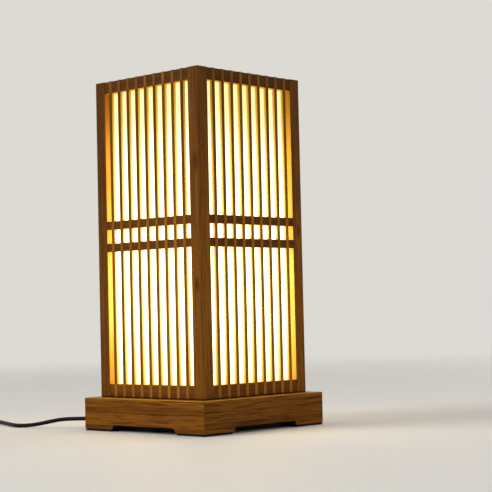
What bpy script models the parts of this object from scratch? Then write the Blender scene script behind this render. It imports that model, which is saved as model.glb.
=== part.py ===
"""A square bamboo lantern lamp: a lattice lantern on a box plinth, with its bulb, cord, switch and plug.

Metres, +Z up. The origin is the middle of the plinth's footprint, on the surface that it stands on.
The front face looks along -Y, and the cord leaves the left face, -X.
"""
import math

import bmesh
import bpy
import numpy as np
from mathutils import Matrix, Vector

# Fits
FIT_GAP = 0.0003
MITRE_GAP = 0.0003

# Plinth
BASE_SIDE = 0.200
BOARD_HEIGHT = 0.0363
BOARD_THICKNESS = 0.015
CUTOUT_HEIGHT = 0.0052
FOOT_LENGTH = 0.046
FOOT_SLOPE = 0.0045
PANEL_THICKNESS = 0.010
PANEL_HOLE_RADIUS = 0.010
COVER_THICKNESS = 0.005
COVER_RISE = 0.0007
BLOCK_SIDE = 0.024
BLOCK_HEIGHT = 0.0105
PAD_THICKNESS = 0.002
PAD_SIDE = 0.044
PAD_INSET = 0.0006
BOARD_EDGE = 0.0012

# Lantern
LEDGE_WIDTH = 0.014
LANTERN_HEIGHT = 0.3743
POST_SIDE = 0.0153
SLAT_COUNT = 9
SLAT_WIDTH = 0.0045
SLAT_DEPTH = 0.004
SLAT_PROUD = 0.0006
SLAT_END_GAP = 0.0083
RAIL_DEPTH = 0.0087
TOP_RAIL_HEIGHT = 0.0143
BOTTOM_RAIL_HEIGHT = 0.0156
MIDDLE_RAIL_HEIGHT = 0.0100
MIDDLE_RAIL_CLEAR = 0.0162
MIDDLE_PAIR_RISE = 0.0023
TENON_LENGTH = 0.004
TENON_THICKNESS = 0.003
TENON_SHOULDER = 0.002
SHEET_THICKNESS = 0.0008
SHEET_TOP_DROP = 0.001

# Screws that tie block, panel and post together
TIE_SCREW_RADIUS = 0.002
TIE_SCREW_HEAD_RADIUS = 0.0032
TIE_SCREW_HEAD_HEIGHT = 0.0025
TIE_SCREW_RECESS = 0.003
TIE_SCREW_BITE = 0.012

# Lamp holder
FLANGE_RADIUS = 0.028
FLANGE_THICKNESS = 0.003
SLEEVE_RADIUS = 0.019
SLEEVE_HEIGHT = 0.050
CUP_RADIUS = 0.015
CUP_HEIGHT = 0.014
WEB_THICKNESS = 0.003
SHELL_RADIUS = 0.014
SHELL_WALL = 0.0004
SHELL_HEIGHT = 0.029
RIVET_RADIUS = 0.002
RIVET_HEAD_RADIUS = 0.005
RIVET_FOOT_RADIUS = 0.004
RIVET_HEAD_HEIGHT = 0.0007
FLANGE_SCREW_RADIUS = 0.0016
FLANGE_SCREW_HEAD_RADIUS = 0.0035
FLANGE_SCREW_HEAD_HEIGHT = 0.002
FLANGE_SCREW_LENGTH = 0.010
FLANGE_SCREW_CIRCLE = 0.0235

# Bulb
CAP_RADIUS = 0.0131
CAP_WALL = 0.0006
CAP_HEIGHT = 0.029
CAP_CONE_HEIGHT = 0.005
CONTACT_RADIUS = 0.0047
CONTACT_HEIGHT = 0.003
GLOBE_RADIUS = 0.030
GLOBE_HEIGHT = 0.076
GLOBE_NECK_DEPTH = 0.006
GLOBE_WALL = 0.001
GLOBE_SWELL = 1.3

# Cord and the pieces on it
CORD_RADIUS = 0.0024
GLAND_FROM_CORNER = 0.025
GLAND_RISE = 0.0112
GLAND_BODY_RADIUS = 0.0046
GLAND_FLANGE_RADIUS = 0.006
GLAND_FLANGE_THICKNESS = 0.002
GLAND_TAIL = 0.018
GLAND_TIP_RADIUS = 0.0036
GLAND_BODY_LENGTH = 0.012
SWITCH_PLACE = (-0.3294, -0.149)
SWITCH_LENGTH = 0.058
SWITCH_WIDTH = 0.024
SWITCH_LOWER_HEIGHT = 0.0075
SWITCH_UPPER_HEIGHT = 0.0075
SWITCH_WALL = 0.0018
SWITCH_CORNER = 0.006
SWITCH_ENTRY = 0.003
ROCKER_LENGTH = 0.016
ROCKER_WIDTH = 0.009
ROCKER_RISE = 0.0043
ROCKER_DISH = 0.0011
ROCKER_KEEL = 0.003
ROCKER_TILT = 8.0
ROCKER_CLEARANCE = 0.001
ROCKER_DEPTH = 0.0038
PIN_RADIUS = 0.0012
PIN_LENGTH = 0.0019
CHEEK_THICKNESS = 0.0022
CHEEK_LENGTH = 0.007
CHEEK_DROP = 0.0028
COIL_PLACE = (-0.277, -0.190)
COIL_MEAN_RADIUS = 0.0273
COIL_TURNS = 8.0833
COIL_LAYERS = 4
COIL_STEP = 0.0058
COIL_START = 240.0
COIL_CLIMB = 0.5
TIE_ANGLE = 20.0
TIE_WIDTH = 0.010
TIE_THICKNESS = 0.001
TIE_SLACK = 0.0008
PLUG_REACH = 0.066
PLUG_BODY_LENGTH = 0.026
PLUG_WIDTH = 0.023
PLUG_THICKNESS = 0.016
PLUG_EDGE = 0.0014
PLUG_SHOULDER = 0.009
PLUG_SHOULDER_INSET = 0.0016
PLUG_TAIL = 0.024
PLUG_TAIL_RADIUS = 0.0036
PLUG_NECK_RADIUS = 0.0049
PLUG_ROUNDNESS = 0.7
BLADE_LENGTH = 0.017
BLADE_WIDTH = 0.0063
BLADE_THICKNESS = 0.0015
BLADE_SPACING = 0.0127
BLADE_SEAT = 0.004

# How finely round pieces are cut
ROUND_SEGMENTS = 24
SMALL_SEGMENTS = 12
PLUG_SEGMENTS = 16
PROFILE_STEPS = 7
CORNER_STEPS = 4
EDGE_STEPS = 2
LOOP_POINTS = 24
CURVE_POINTS = 1200
TUBE_STEP = 2.0
SHARP_ANGLE = 35.0

# Levels and distances that follow from the sizes above
BOARD_BOTTOM = PAD_THICKNESS + FIT_GAP
BASE_TOP = BOARD_BOTTOM + BOARD_HEIGHT
PANEL_BOTTOM = BASE_TOP - PANEL_THICKNESS
INNER_HALF = BASE_SIDE / 2 - BOARD_THICKNESS
LANTERN_BOTTOM = BASE_TOP + FIT_GAP
LANTERN_TOP = LANTERN_BOTTOM + LANTERN_HEIGHT
LANTERN_HALF = BASE_SIDE / 2 - LEDGE_WIDTH
CLEAR_HALF = LANTERN_HALF - POST_SIDE
RAIL_BACK = SLAT_PROUD + RAIL_DEPTH
TENON_FRONT = SLAT_PROUD + (RAIL_DEPTH - TENON_THICKNESS) / 2
MIDDLE_HEIGHT = (LANTERN_BOTTOM + LANTERN_TOP) / 2 + MIDDLE_PAIR_RISE
FLANGE_BOTTOM = BASE_TOP + FIT_GAP
FLANGE_TOP = FLANGE_BOTTOM + FLANGE_THICKNESS
WEB_BOTTOM = FLANGE_BOTTOM + CUP_HEIGHT
WEB_TOP = WEB_BOTTOM + WEB_THICKNESS
RIVET_TOP = WEB_TOP + FIT_GAP + RIVET_HEAD_HEIGHT
CONTACT_BOTTOM = RIVET_TOP + FIT_GAP
CAP_BOTTOM = CONTACT_BOTTOM + CONTACT_HEIGHT / 2
CAP_TOP = CAP_BOTTOM + CAP_HEIGHT
BORE_RADIUS = CORD_RADIUS + FIT_GAP
GLAND_BACK = BASE_SIDE / 2 - GLAND_FROM_CORNER
GLAND_MOUTH = -BASE_SIDE / 2 - FIT_GAP - GLAND_FLANGE_THICKNESS - GLAND_TAIL
SWITCH_AXIS = SWITCH_LOWER_HEIGHT + FIT_GAP / 2
SWITCH_TOP = SWITCH_LOWER_HEIGHT + FIT_GAP + SWITCH_UPPER_HEIGHT
ROCKER_PIVOT = SWITCH_TOP - ROCKER_DEPTH
COIL_FLOOR = TIE_THICKNESS + FIT_GAP + CORD_RADIUS
PLUG_AXIS = PLUG_THICKNESS / 2

# The lead from the gland to the switch, by hand: it droops to the table, then lies on it
SEEN_ROUTE = [
    (-0.1310, -0.0764, 0.0111),
    (-0.1420, -0.0802, 0.0108),
    (-0.1600, -0.0892, 0.0096),
    (-0.1770, -0.0990, 0.0061),
    (-0.1937, -0.1086, 0.0032),
    (-0.2065, -0.1135, 0.0026),
    (-0.2220, -0.1112, 0.0026),
    (-0.2400, -0.1040, 0.0026),
    (-0.2620, -0.0950, 0.0026),
    (-0.2830, -0.0868, 0.0026),
    (-0.3020, -0.0838, 0.0028),
    (-0.3185, -0.0915, 0.0040),
    (-0.3280, -0.1060, 0.0066),
]
# The lead inside the plinth: first as steps from where it leaves the board, then up into the holder's cup
STEPS_FROM_BOARD = [
    (0.0210, 0.0012, 0.0),
    (0.0370, 0.0110, 0.0),
    (0.0510, 0.0300, 0.0),
]
INNER_ROUTE = [
    (-0.0190, -0.0230, 0.0116),
    (-0.0110, -0.0132, 0.0150),
    (-0.0062, -0.0076, 0.0215),
    (-0.0036, -0.0044, 0.0290),
    (-0.0014, -0.0018, 0.0385),
    (-0.0004, -0.0006, 0.0470),
]

# What turns a prism along Z into one along X or along Y
ALONG_X = Matrix(((0, 0, 1, 0), (1, 0, 0, 0), (0, 1, 0, 0), (0, 0, 0, 1)))
ALONG_Y = Matrix(((1, 0, 0, 0), (0, 0, 1, 0), (0, 1, 0, 0), (0, 0, 0, 1)))

# Turns about Z, in degrees, of the pieces that are made at the front or at the front right corner
FACES = {"front": 0, "right": 90, "rear": 180, "left": 270}
CORNERS = {"front_right": 0, "rear_right": 90, "rear_left": 180, "front_left": 270}

# Colours as linear red, green, blue, then roughness and metallic
FINISHES = {
    "bamboo": ((0.170, 0.066, 0.013), 0.45, 0.0),
    "base_bamboo": ((0.185, 0.070, 0.012), 0.42, 0.0),
    "softwood": ((0.36, 0.23, 0.11), 0.70, 0.0),
    "hardboard": ((0.012, 0.010, 0.009), 0.80, 0.0),
    "diffuser": ((0.93, 0.88, 0.70), 0.60, 0.0),
    "felt": ((0.010, 0.009, 0.008), 0.95, 0.0),
    "steel": ((0.45, 0.44, 0.42), 0.35, 1.0),
    "brass": ((0.62, 0.42, 0.14), 0.30, 1.0),
    "bakelite": ((0.012, 0.011, 0.010), 0.35, 0.0),
    "opal": ((0.90, 0.88, 0.80), 0.40, 0.0),
    "nickel": ((0.60, 0.58, 0.54), 0.30, 1.0),
    "cord_black": ((0.008, 0.008, 0.009), 0.45, 0.0),
    "switch_black": ((0.010, 0.010, 0.011), 0.38, 0.0),
}
MATERIALS = {}


def clear_scene():
    for item in list(bpy.data.objects):
        bpy.data.objects.remove(item, do_unlink=True)


def make_materials():
    for name, (colour, roughness, metallic) in FINISHES.items():
        material = bpy.data.materials.new(name)
        material.use_nodes = True
        shader = material.node_tree.nodes["Principled BSDF"]
        shader.inputs["Base Color"].default_value = (*colour, 1.0)
        shader.inputs["Roughness"].default_value = roughness
        shader.inputs["Metallic"].default_value = metallic
        if name == "diffuser":
            shader.inputs["Emission Color"].default_value = (1.0, 0.86, 0.50, 1.0)
            shader.inputs["Emission Strength"].default_value = 1.0
        MATERIALS[name] = material


def add_object(name, data, finish):
    item = bpy.data.objects.new(name, data)
    bpy.context.scene.collection.objects.link(item)
    if finish:
        data.materials.append(MATERIALS[finish])
    return item


def from_bmesh(name, mesh, finish, smooth=False):
    bmesh.ops.recalc_face_normals(mesh, faces=mesh.faces)
    data = bpy.data.meshes.new(name)
    mesh.to_mesh(data)
    mesh.free()
    if smooth:
        data.shade_smooth()
        data.set_sharp_from_angle(angle=math.radians(SHARP_ANGLE))
    return add_object(name, data, finish)


def add_prism(mesh, outline, low, high, far_outline=None):
    """Close an outline of (a, b) points between two levels of the third axis."""
    near = [mesh.verts.new((a, b, low)) for a, b in outline]
    far = [mesh.verts.new((a, b, high)) for a, b in (far_outline or outline)]
    count = len(near)
    mesh.faces.new(list(reversed(near)))
    mesh.faces.new(far)
    for i in range(count):
        j = (i + 1) % count
        mesh.faces.new((near[i], near[j], far[j], far[i]))
    return near + far


def add_box(mesh, low, high):
    outline = [(low[0], low[1]), (high[0], low[1]), (high[0], high[1]), (low[0], high[1])]
    return add_prism(mesh, outline, low[2], high[2])


def circle(radius, segments, centre=(0.0, 0.0)):
    turns = [2 * math.pi * i / segments for i in range(segments)]
    return [(centre[0] + radius * math.cos(turn), centre[1] + radius * math.sin(turn)) for turn in turns]


def add_cylinder(mesh, radius, low, high, axis="Z", centre=(0.0, 0.0), segments=SMALL_SEGMENTS):
    """A cylinder along one axis: centre gives its place on the other two, in X, Y, Z order."""
    verts = add_prism(mesh, circle(radius, segments, centre), low, high)
    if axis == "X":
        bmesh.ops.transform(mesh, matrix=ALONG_X, verts=verts)
    elif axis == "Y":
        bmesh.ops.transform(mesh, matrix=ALONG_Y, verts=verts)


def boxes(name, corners, finish=None):
    mesh = bmesh.new()
    for low, high in corners:
        add_box(mesh, low, high)
    return from_bmesh(name, mesh, finish)


def combine(item, other, operation):
    """Cut the other object from this one, or join it on, and drop the other."""
    modifier = item.modifiers.new(operation.lower(), "BOOLEAN")
    modifier.operation = operation
    modifier.solver = "EXACT"
    modifier.object = other
    bpy.context.view_layer.update()
    result = bpy.data.meshes.new_from_object(item.evaluated_get(bpy.context.evaluated_depsgraph_get()))
    item.modifiers.clear()
    item.data = result
    bpy.data.objects.remove(other, do_unlink=True)
    return item


def turned(name, profile, finish, segments=ROUND_SEGMENTS, closed=False):
    """Turn (radius, height) points about Z. A closed profile makes a ring, an open one ends on the axis."""
    mesh = bmesh.new()
    rings = []
    for radius, height in profile:
        if radius == 0:
            rings.append([mesh.verts.new((0, 0, height))] * segments)
        else:
            rings.append([mesh.verts.new((a, b, height)) for a, b in circle(radius, segments)])
    pairs = list(zip(rings, rings[1:]))
    if closed:
        pairs.append((rings[-1], rings[0]))
    for upper, lower in pairs:
        for i in range(segments):
            j = (i + 1) % segments
            corners = list(dict.fromkeys((upper[i], upper[j], lower[j], lower[i])))
            if len(corners) > 2:
                mesh.faces.new(corners)
    return from_bmesh(name, mesh, finish, smooth=True)


def smooth_curve(points):
    """Many points on a natural cubic spline through the route's points, by chord length."""
    knots = np.array(points, float)
    chord = np.concatenate([[0], np.cumsum(np.linalg.norm(np.diff(knots, axis=0), axis=1))])
    gaps = np.diff(chord)
    size = len(knots)
    system = np.eye(size)
    right = np.zeros((size, 3))
    for i in range(1, size - 1):
        system[i, i - 1 : i + 2] = gaps[i - 1], 2 * (gaps[i - 1] + gaps[i]), gaps[i]
        right[i] = 6 * ((knots[i + 1] - knots[i]) / gaps[i] - (knots[i] - knots[i - 1]) / gaps[i - 1])
    bend = np.linalg.solve(system, right)
    place = np.linspace(0, chord[-1], CURVE_POINTS)
    span = np.clip(np.searchsorted(chord, place, side="right") - 1, 0, size - 2)
    gap = gaps[span][:, None]
    before = (place - chord[span])[:, None]
    after = gap - before
    bent = (bend[span] * after**3 + bend[span + 1] * before**3) / (6 * gap)
    from_before = (knots[span] / gap - bend[span] * gap / 6) * after
    from_after = (knots[span + 1] / gap - bend[span + 1] * gap / 6) * before
    return bent + from_before + from_after


def even_points(points, step):
    """Points at an even step along a finely cut curve."""
    fine = np.array(points)
    run = np.concatenate([[0], np.cumsum(np.linalg.norm(np.diff(fine, axis=0), axis=1))])
    places = np.linspace(0, run[-1], max(2, int(round(run[-1] / step)) + 1))
    return np.stack([np.interp(places, run, fine[:, axis]) for axis in range(3)], axis=1)


def tube(name, points, finish, resolution):
    curve = bpy.data.curves.new(name, "CURVE")
    curve.dimensions = "3D"
    curve.bevel_depth = CORD_RADIUS
    curve.bevel_resolution = resolution
    curve.use_fill_caps = True
    spline = curve.splines.new("POLY")
    spline.points.add(len(points) - 1)
    for point, place in zip(spline.points, points):
        point.co = (*place, 1.0)
    return add_object(name, curve, finish)


def lead(name, route):
    points = even_points(smooth_curve(route), TUBE_STEP * 2 * CORD_RADIUS)
    points[:, 2] = np.maximum(points[:, 2], CORD_RADIUS)
    tube(name, points, "cord_black", resolution=2)


def straight(point, direction, distance):
    return tuple(Vector(point) + Vector(direction).normalized() * distance)


# Plinth


def board_outline():
    """Half of a board's face from the middle to its end, as (along, up), then mirrored."""
    bottom = BOARD_BOTTOM
    half = BASE_SIDE / 2
    slope_start = half - FOOT_LENGTH - FOOT_SLOPE
    slope = []
    for i in range(PROFILE_STEPS):
        share = i / (PROFILE_STEPS - 1)
        ease = share * share * (3 - 2 * share)
        slope.append((slope_start + FOOT_SLOPE * share, bottom + CUTOUT_HEIGHT * (1 - ease)))
    right = slope + [(half, bottom), (half, BASE_TOP)]
    left = [(-a, b) for a, b in reversed(right)]
    return right + left


def make_boards():
    for face, angle in FACES.items():
        outer = board_outline()
        end = BASE_SIDE / 2
        back_off = MITRE_GAP / math.sqrt(2)
        near = [(math.copysign(end - back_off, a) if abs(a) == end else a, b) for a, b in outer]
        far = [(math.copysign(INNER_HALF - back_off, a) if abs(a) == end else a, b) for a, b in outer]
        mesh = bmesh.new()
        verts = add_prism(mesh, near, BASE_SIDE / 2, INNER_HALF, far)
        # The outline lies in X and Y here: stand it up so that its depth runs along -Y
        stand = Matrix(((1, 0, 0, 0), (0, 0, -1, 0), (0, 1, 0, 0), (0, 0, 0, 1)))
        bmesh.ops.transform(mesh, matrix=stand, verts=verts)
        outer_top = {v for v in verts if v.co.z > BASE_TOP - FIT_GAP and v.co.y < -INNER_HALF - FIT_GAP}
        top_edge = [edge for edge in mesh.edges if outer_top.issuperset(edge.verts)]
        bmesh.ops.bevel(mesh, geom=top_edge, offset=BOARD_EDGE, segments=EDGE_STEPS, affect="EDGES",
                        profile=0.5)
        board = from_bmesh("base_board_" + face, mesh, "base_bamboo")
        if face == "left":
            hole = bmesh.new()
            # On the left face the local X axis runs along -Y
            place = (GLAND_BACK, GLAND_RISE)
            add_cylinder(hole, GLAND_BODY_RADIUS + FIT_GAP, -BASE_SIDE, 0, "Y", place, ROUND_SEGMENTS)
            combine(board, from_bmesh("gland_hole", hole, None), "DIFFERENCE")
        board.rotation_euler.z = math.radians(angle)


def screw_place():
    return LANTERN_HALF - POST_SIDE / 2


def make_panel():
    half = INNER_HALF - FIT_GAP
    panel = boxes("base_top_panel", [((-half, -half, PANEL_BOTTOM), (half, half, BASE_TOP))], "base_bamboo")
    holes = bmesh.new()
    low, high = PANEL_BOTTOM - PANEL_THICKNESS, BASE_TOP + PANEL_THICKNESS
    add_cylinder(holes, PANEL_HOLE_RADIUS, low, high, segments=ROUND_SEGMENTS)
    for side in (-1, 1):
        place = (side * FLANGE_SCREW_CIRCLE, 0.0)
        screw_foot = FLANGE_TOP - FLANGE_SCREW_LENGTH
        add_cylinder(holes, FLANGE_SCREW_RADIUS + FIT_GAP, screw_foot, high, centre=place)
    for x in (-screw_place(), screw_place()):
        for y in (-screw_place(), screw_place()):
            add_cylinder(holes, TIE_SCREW_RADIUS + FIT_GAP, low, high, centre=(x, y))
    combine(panel, from_bmesh("panel_holes", holes, None), "DIFFERENCE")


def make_cover():
    """A dark board that closes the plinth from below."""
    half = INNER_HALF - FIT_GAP
    bottom = BOARD_BOTTOM + COVER_RISE
    boxes("base_cover", [((-half, -half, bottom), (half, half, bottom + COVER_THICKNESS))], "hardboard")


def make_corner_pieces():
    """The glue block, pad and long screw of each corner, made at the front right and turned."""
    block_high = PANEL_BOTTOM - FIT_GAP
    block_low = block_high - BLOCK_HEIGHT
    head = block_low + TIE_SCREW_RECESS
    head_top = head + TIE_SCREW_HEAD_HEIGHT
    tip = LANTERN_BOTTOM + TIE_SCREW_BITE
    centre = (screw_place(), -screw_place())
    for corner, angle in CORNERS.items():
        turn = math.radians(angle)
        outer = INNER_HALF - FIT_GAP
        inner = outer - BLOCK_SIDE
        low, high = (inner, -outer, block_low), (outer, -inner, block_high)
        block = boxes("glue_block_" + corner, [(low, high)], "softwood")
        bore = bmesh.new()
        add_cylinder(bore, TIE_SCREW_RADIUS + FIT_GAP, head_top, block_high + FIT_GAP, centre=centre)
        combine(block, from_bmesh("block_bore", bore, None), "DIFFERENCE")
        recess = bmesh.new()
        add_cylinder(recess, TIE_SCREW_HEAD_RADIUS + FIT_GAP, 0, head_top + FIT_GAP, centre=centre)
        combine(block, from_bmesh("block_recess", recess, None), "DIFFERENCE")
        block.rotation_euler.z = turn
        edge = BASE_SIDE / 2 - PAD_INSET
        low, high = (edge - PAD_SIDE, -edge, 0), (edge, PAD_SIDE - edge, PAD_THICKNESS)
        pad = boxes("foot_pad_" + corner, [(low, high)], "felt")
        pad.rotation_euler.z = turn
        profile = [(0, tip), (TIE_SCREW_RADIUS, tip - TIE_SCREW_RADIUS), (TIE_SCREW_RADIUS, head_top),
                   (TIE_SCREW_HEAD_RADIUS, head_top), (TIE_SCREW_HEAD_RADIUS, head), (0, head)]
        screw = turned("tie_screw_" + corner, profile, "steel", SMALL_SEGMENTS)
        screw.location = Matrix.Rotation(turn, 3, "Z") @ Vector((centre[0], centre[1], 0))


# Lantern


def rail_levels():
    """The low and high edge of each rail on a face."""
    half_clear = MIDDLE_RAIL_CLEAR / 2
    return {
        "bottom": (LANTERN_BOTTOM, LANTERN_BOTTOM + BOTTOM_RAIL_HEIGHT),
        "lower_middle": (MIDDLE_HEIGHT - half_clear - MIDDLE_RAIL_HEIGHT, MIDDLE_HEIGHT - half_clear),
        "upper_middle": (MIDDLE_HEIGHT + half_clear, MIDDLE_HEIGHT + half_clear + MIDDLE_RAIL_HEIGHT),
        "top": (LANTERN_TOP - TOP_RAIL_HEIGHT, LANTERN_TOP),
    }


def rail(name, low, high):
    """A rail on the front face with a stub tenon at each end."""
    half = CLEAR_HALF - FIT_GAP
    near, far = (-half, SLAT_PROUD - LANTERN_HALF, low), (half, RAIL_BACK - LANTERN_HALF, high)
    item = boxes(name, [(near, far)], "bamboo")
    reach = CLEAR_HALF + TENON_LENGTH
    tenon_front = TENON_FRONT - LANTERN_HALF
    tenon_low = (-reach, tenon_front, low + TENON_SHOULDER)
    tenon_high = (reach, tenon_front + TENON_THICKNESS, high - TENON_SHOULDER)
    return combine(item, boxes("tenons", [(tenon_low, tenon_high)]), "UNION")


def slat_boxes(grow=0.0):
    """The upright slats of the front face, grown on every side where they cut their notches."""
    first = -CLEAR_HALF + SLAT_END_GAP + SLAT_WIDTH / 2
    half = SLAT_WIDTH / 2 + grow
    slats = []
    for i in range(SLAT_COUNT):
        x = first - i * 2 * first / (SLAT_COUNT - 1)
        low = (x - half, -LANTERN_HALF - grow, LANTERN_BOTTOM - grow)
        high = (x + half, SLAT_DEPTH - LANTERN_HALF + grow, LANTERN_TOP + grow)
        slats.append((low, high))
    return slats


def make_faces():
    levels = rail_levels()
    for face, angle in FACES.items():
        turn = math.radians(angle)
        for end in ("top", "bottom"):
            notched = rail(face + "_" + end + "_rail", *levels[end])
            combine(notched, boxes("notches", slat_boxes(FIT_GAP)), "DIFFERENCE")
            notched.rotation_euler.z = turn
        lattice = rail(face + "_lattice", *levels["upper_middle"])
        combine(lattice, rail("lower_rail", *levels["lower_middle"]), "UNION")
        combine(lattice, boxes("slats", slat_boxes()), "UNION")
        lattice.rotation_euler.z = turn
        half = CLEAR_HALF - FIT_GAP
        front = RAIL_BACK + FIT_GAP - LANTERN_HALF
        low = (-half, front, LANTERN_BOTTOM)
        high = (half, front + SHEET_THICKNESS, LANTERN_TOP - SHEET_TOP_DROP)
        boxes(face + "_diffuser", [(low, high)], "diffuser").rotation_euler.z = turn


def make_posts():
    for corner, angle in CORNERS.items():
        low, high = (CLEAR_HALF, -LANTERN_HALF, LANTERN_BOTTOM), (LANTERN_HALF, -CLEAR_HALF, LANTERN_TOP)
        post = boxes("post_" + corner, [(low, high)], "bamboo")
        depth = CLEAR_HALF + TENON_LENGTH + FIT_GAP
        near = LANTERN_HALF - TENON_FRONT + FIT_GAP
        far = near - TENON_THICKNESS - 2 * FIT_GAP
        cuts = bmesh.new()
        for rail_low, rail_high in rail_levels().values():
            foot = rail_low + TENON_SHOULDER - FIT_GAP
            head = rail_high - TENON_SHOULDER + FIT_GAP
            add_box(cuts, (0, -near, foot), (depth, -far, head))
            add_box(cuts, (far, -depth, foot), (near, 0, head))
        combine(post, from_bmesh("mortises", cuts, None), "DIFFERENCE")
        hole = bmesh.new()
        top = LANTERN_BOTTOM + TIE_SCREW_BITE + FIT_GAP
        add_cylinder(hole, TIE_SCREW_RADIUS + FIT_GAP, 0, top, centre=(screw_place(), -screw_place()))
        combine(post, from_bmesh("screw_hole", hole, None), "DIFFERENCE")
        post.rotation_euler.z = math.radians(angle)


# Lamp holder and bulb


def make_holder():
    sleeve_top = FLANGE_BOTTOM + SLEEVE_HEIGHT
    bore = SHELL_RADIUS + FIT_GAP
    rivet_hole = RIVET_RADIUS + FIT_GAP
    profile = [(SLEEVE_RADIUS, sleeve_top), (SLEEVE_RADIUS, FLANGE_TOP), (FLANGE_RADIUS, FLANGE_TOP),
               (FLANGE_RADIUS, FLANGE_BOTTOM), (CUP_RADIUS, FLANGE_BOTTOM), (CUP_RADIUS, WEB_BOTTOM),
               (rivet_hole, WEB_BOTTOM), (rivet_hole, WEB_TOP), (bore, WEB_TOP), (bore, sleeve_top)]
    holder = turned("holder_body", profile, "bakelite", closed=True)
    holes = bmesh.new()
    for side in (-1, 1):
        place = (side * FLANGE_SCREW_CIRCLE, 0.0)
        low, high = FLANGE_BOTTOM - FLANGE_THICKNESS, FLANGE_TOP + FLANGE_THICKNESS
        add_cylinder(holes, FLANGE_SCREW_RADIUS + FIT_GAP, low, high, centre=place)
    combine(holder, from_bmesh("flange_holes", holes, None), "DIFFERENCE")
    shell_bottom = WEB_TOP + FIT_GAP
    inner = SHELL_RADIUS - SHELL_WALL
    profile = [(SHELL_RADIUS, shell_bottom + SHELL_HEIGHT), (SHELL_RADIUS, shell_bottom),
               (inner, shell_bottom), (inner, shell_bottom + SHELL_HEIGHT)]
    turned("holder_shell", profile, "brass", closed=True)
    foot = WEB_BOTTOM - FIT_GAP
    profile = [(0, RIVET_TOP), (RIVET_HEAD_RADIUS, RIVET_TOP), (RIVET_HEAD_RADIUS, WEB_TOP + FIT_GAP),
               (RIVET_RADIUS, WEB_TOP + FIT_GAP), (RIVET_RADIUS, foot), (RIVET_FOOT_RADIUS, foot),
               (RIVET_FOOT_RADIUS, foot - RIVET_HEAD_HEIGHT), (0, foot - RIVET_HEAD_HEIGHT)]
    turned("holder_contact", profile, "brass", SMALL_SEGMENTS)
    head = FLANGE_TOP + FIT_GAP
    tip = head - FLANGE_SCREW_LENGTH
    head_top = head + FLANGE_SCREW_HEAD_HEIGHT
    profile = [(0, head_top), (FLANGE_SCREW_HEAD_RADIUS, head_top), (FLANGE_SCREW_HEAD_RADIUS, head),
               (FLANGE_SCREW_RADIUS, head), (FLANGE_SCREW_RADIUS, tip + FLANGE_SCREW_RADIUS), (0, tip)]
    for side, name in ((-1, "left"), (1, "right")):
        screw = turned("holder_screw_" + name, profile, "steel", SMALL_SEGMENTS)
        screw.location.x = side * FLANGE_SCREW_CIRCLE


def make_bulb():
    """The bulb's three pieces share the holder's axis, on which it screws in and out."""
    hole = CONTACT_RADIUS + FIT_GAP
    cone_top = CAP_BOTTOM + CAP_CONE_HEIGHT
    lining = CAP_RADIUS - CAP_WALL
    profile = [(CAP_RADIUS, CAP_TOP), (CAP_RADIUS, cone_top), (hole, CAP_BOTTOM),
               (hole, CAP_BOTTOM + CAP_WALL), (lining, cone_top + CAP_WALL), (lining, CAP_TOP)]
    turned("bulb_cap", profile, "nickel", closed=True)
    contact_top = CONTACT_BOTTOM + CONTACT_HEIGHT
    profile = [(0, contact_top), (CONTACT_RADIUS, contact_top), (CONTACT_RADIUS, CAP_BOTTOM - CAP_WALL),
               (0, CONTACT_BOTTOM)]
    turned("bulb_contact", profile, "bakelite", SMALL_SEGMENTS)
    neck = lining - FIT_GAP
    neck_bottom = CAP_TOP - GLOBE_NECK_DEPTH
    globe_top = neck_bottom + GLOBE_HEIGHT
    middle = globe_top - GLOBE_RADIUS
    outer = [(neck, neck_bottom), (neck, CAP_TOP + FIT_GAP)]
    flare_bottom, flare_top = CAP_TOP + FIT_GAP, middle
    for i in range(1, PROFILE_STEPS + 1):
        share = i / PROFILE_STEPS
        radius = neck + (GLOBE_RADIUS - neck) * math.sin(share * math.pi / 2) ** GLOBE_SWELL
        outer.append((radius, flare_bottom + (flare_top - flare_bottom) * share))
    for i in range(1, PROFILE_STEPS):
        turn = i / PROFILE_STEPS * math.pi / 2
        outer.append((GLOBE_RADIUS * math.cos(turn), middle + GLOBE_RADIUS * math.sin(turn)))
    inner = [(radius - GLOBE_WALL, height) for radius, height in outer[:-1]]
    profile = outer + [(0, globe_top), (0, globe_top - GLOBE_WALL)] + list(reversed(inner))
    turned("bulb_globe", profile, "opal", closed=True)


# Cord and the pieces on it


def make_gland():
    face = -BASE_SIDE / 2 - FIT_GAP
    inside = face + GLAND_BODY_LENGTH
    flange = face - GLAND_FLANGE_THICKNESS
    # Heights of this profile run outwards, along -X
    profile = [(BORE_RADIUS, -inside), (GLAND_BODY_RADIUS, -inside), (GLAND_BODY_RADIUS, -face),
               (GLAND_FLANGE_RADIUS, -face), (GLAND_FLANGE_RADIUS, -flange), (GLAND_BODY_RADIUS, -flange),
               (GLAND_TIP_RADIUS, -GLAND_MOUTH), (BORE_RADIUS, -GLAND_MOUTH)]
    gland = turned("cord_gland", profile, "switch_black", SMALL_SEGMENTS, closed=True)
    gland.rotation_euler = (0, math.radians(-90), 0)
    gland.location = (0, -GLAND_BACK, GLAND_RISE)


def rounded_outline(half_length, half_width, radius):
    points = []
    for quarter, (x, y) in enumerate(((1, 1), (-1, 1), (-1, -1), (1, -1))):
        centre = (x * (half_length - radius), y * (half_width - radius))
        for i in range(CORNER_STEPS + 1):
            turn = (quarter + i / CORNER_STEPS) * math.pi / 2
            points.append((centre[0] + radius * math.cos(turn), centre[1] + radius * math.sin(turn)))
    return points


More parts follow.
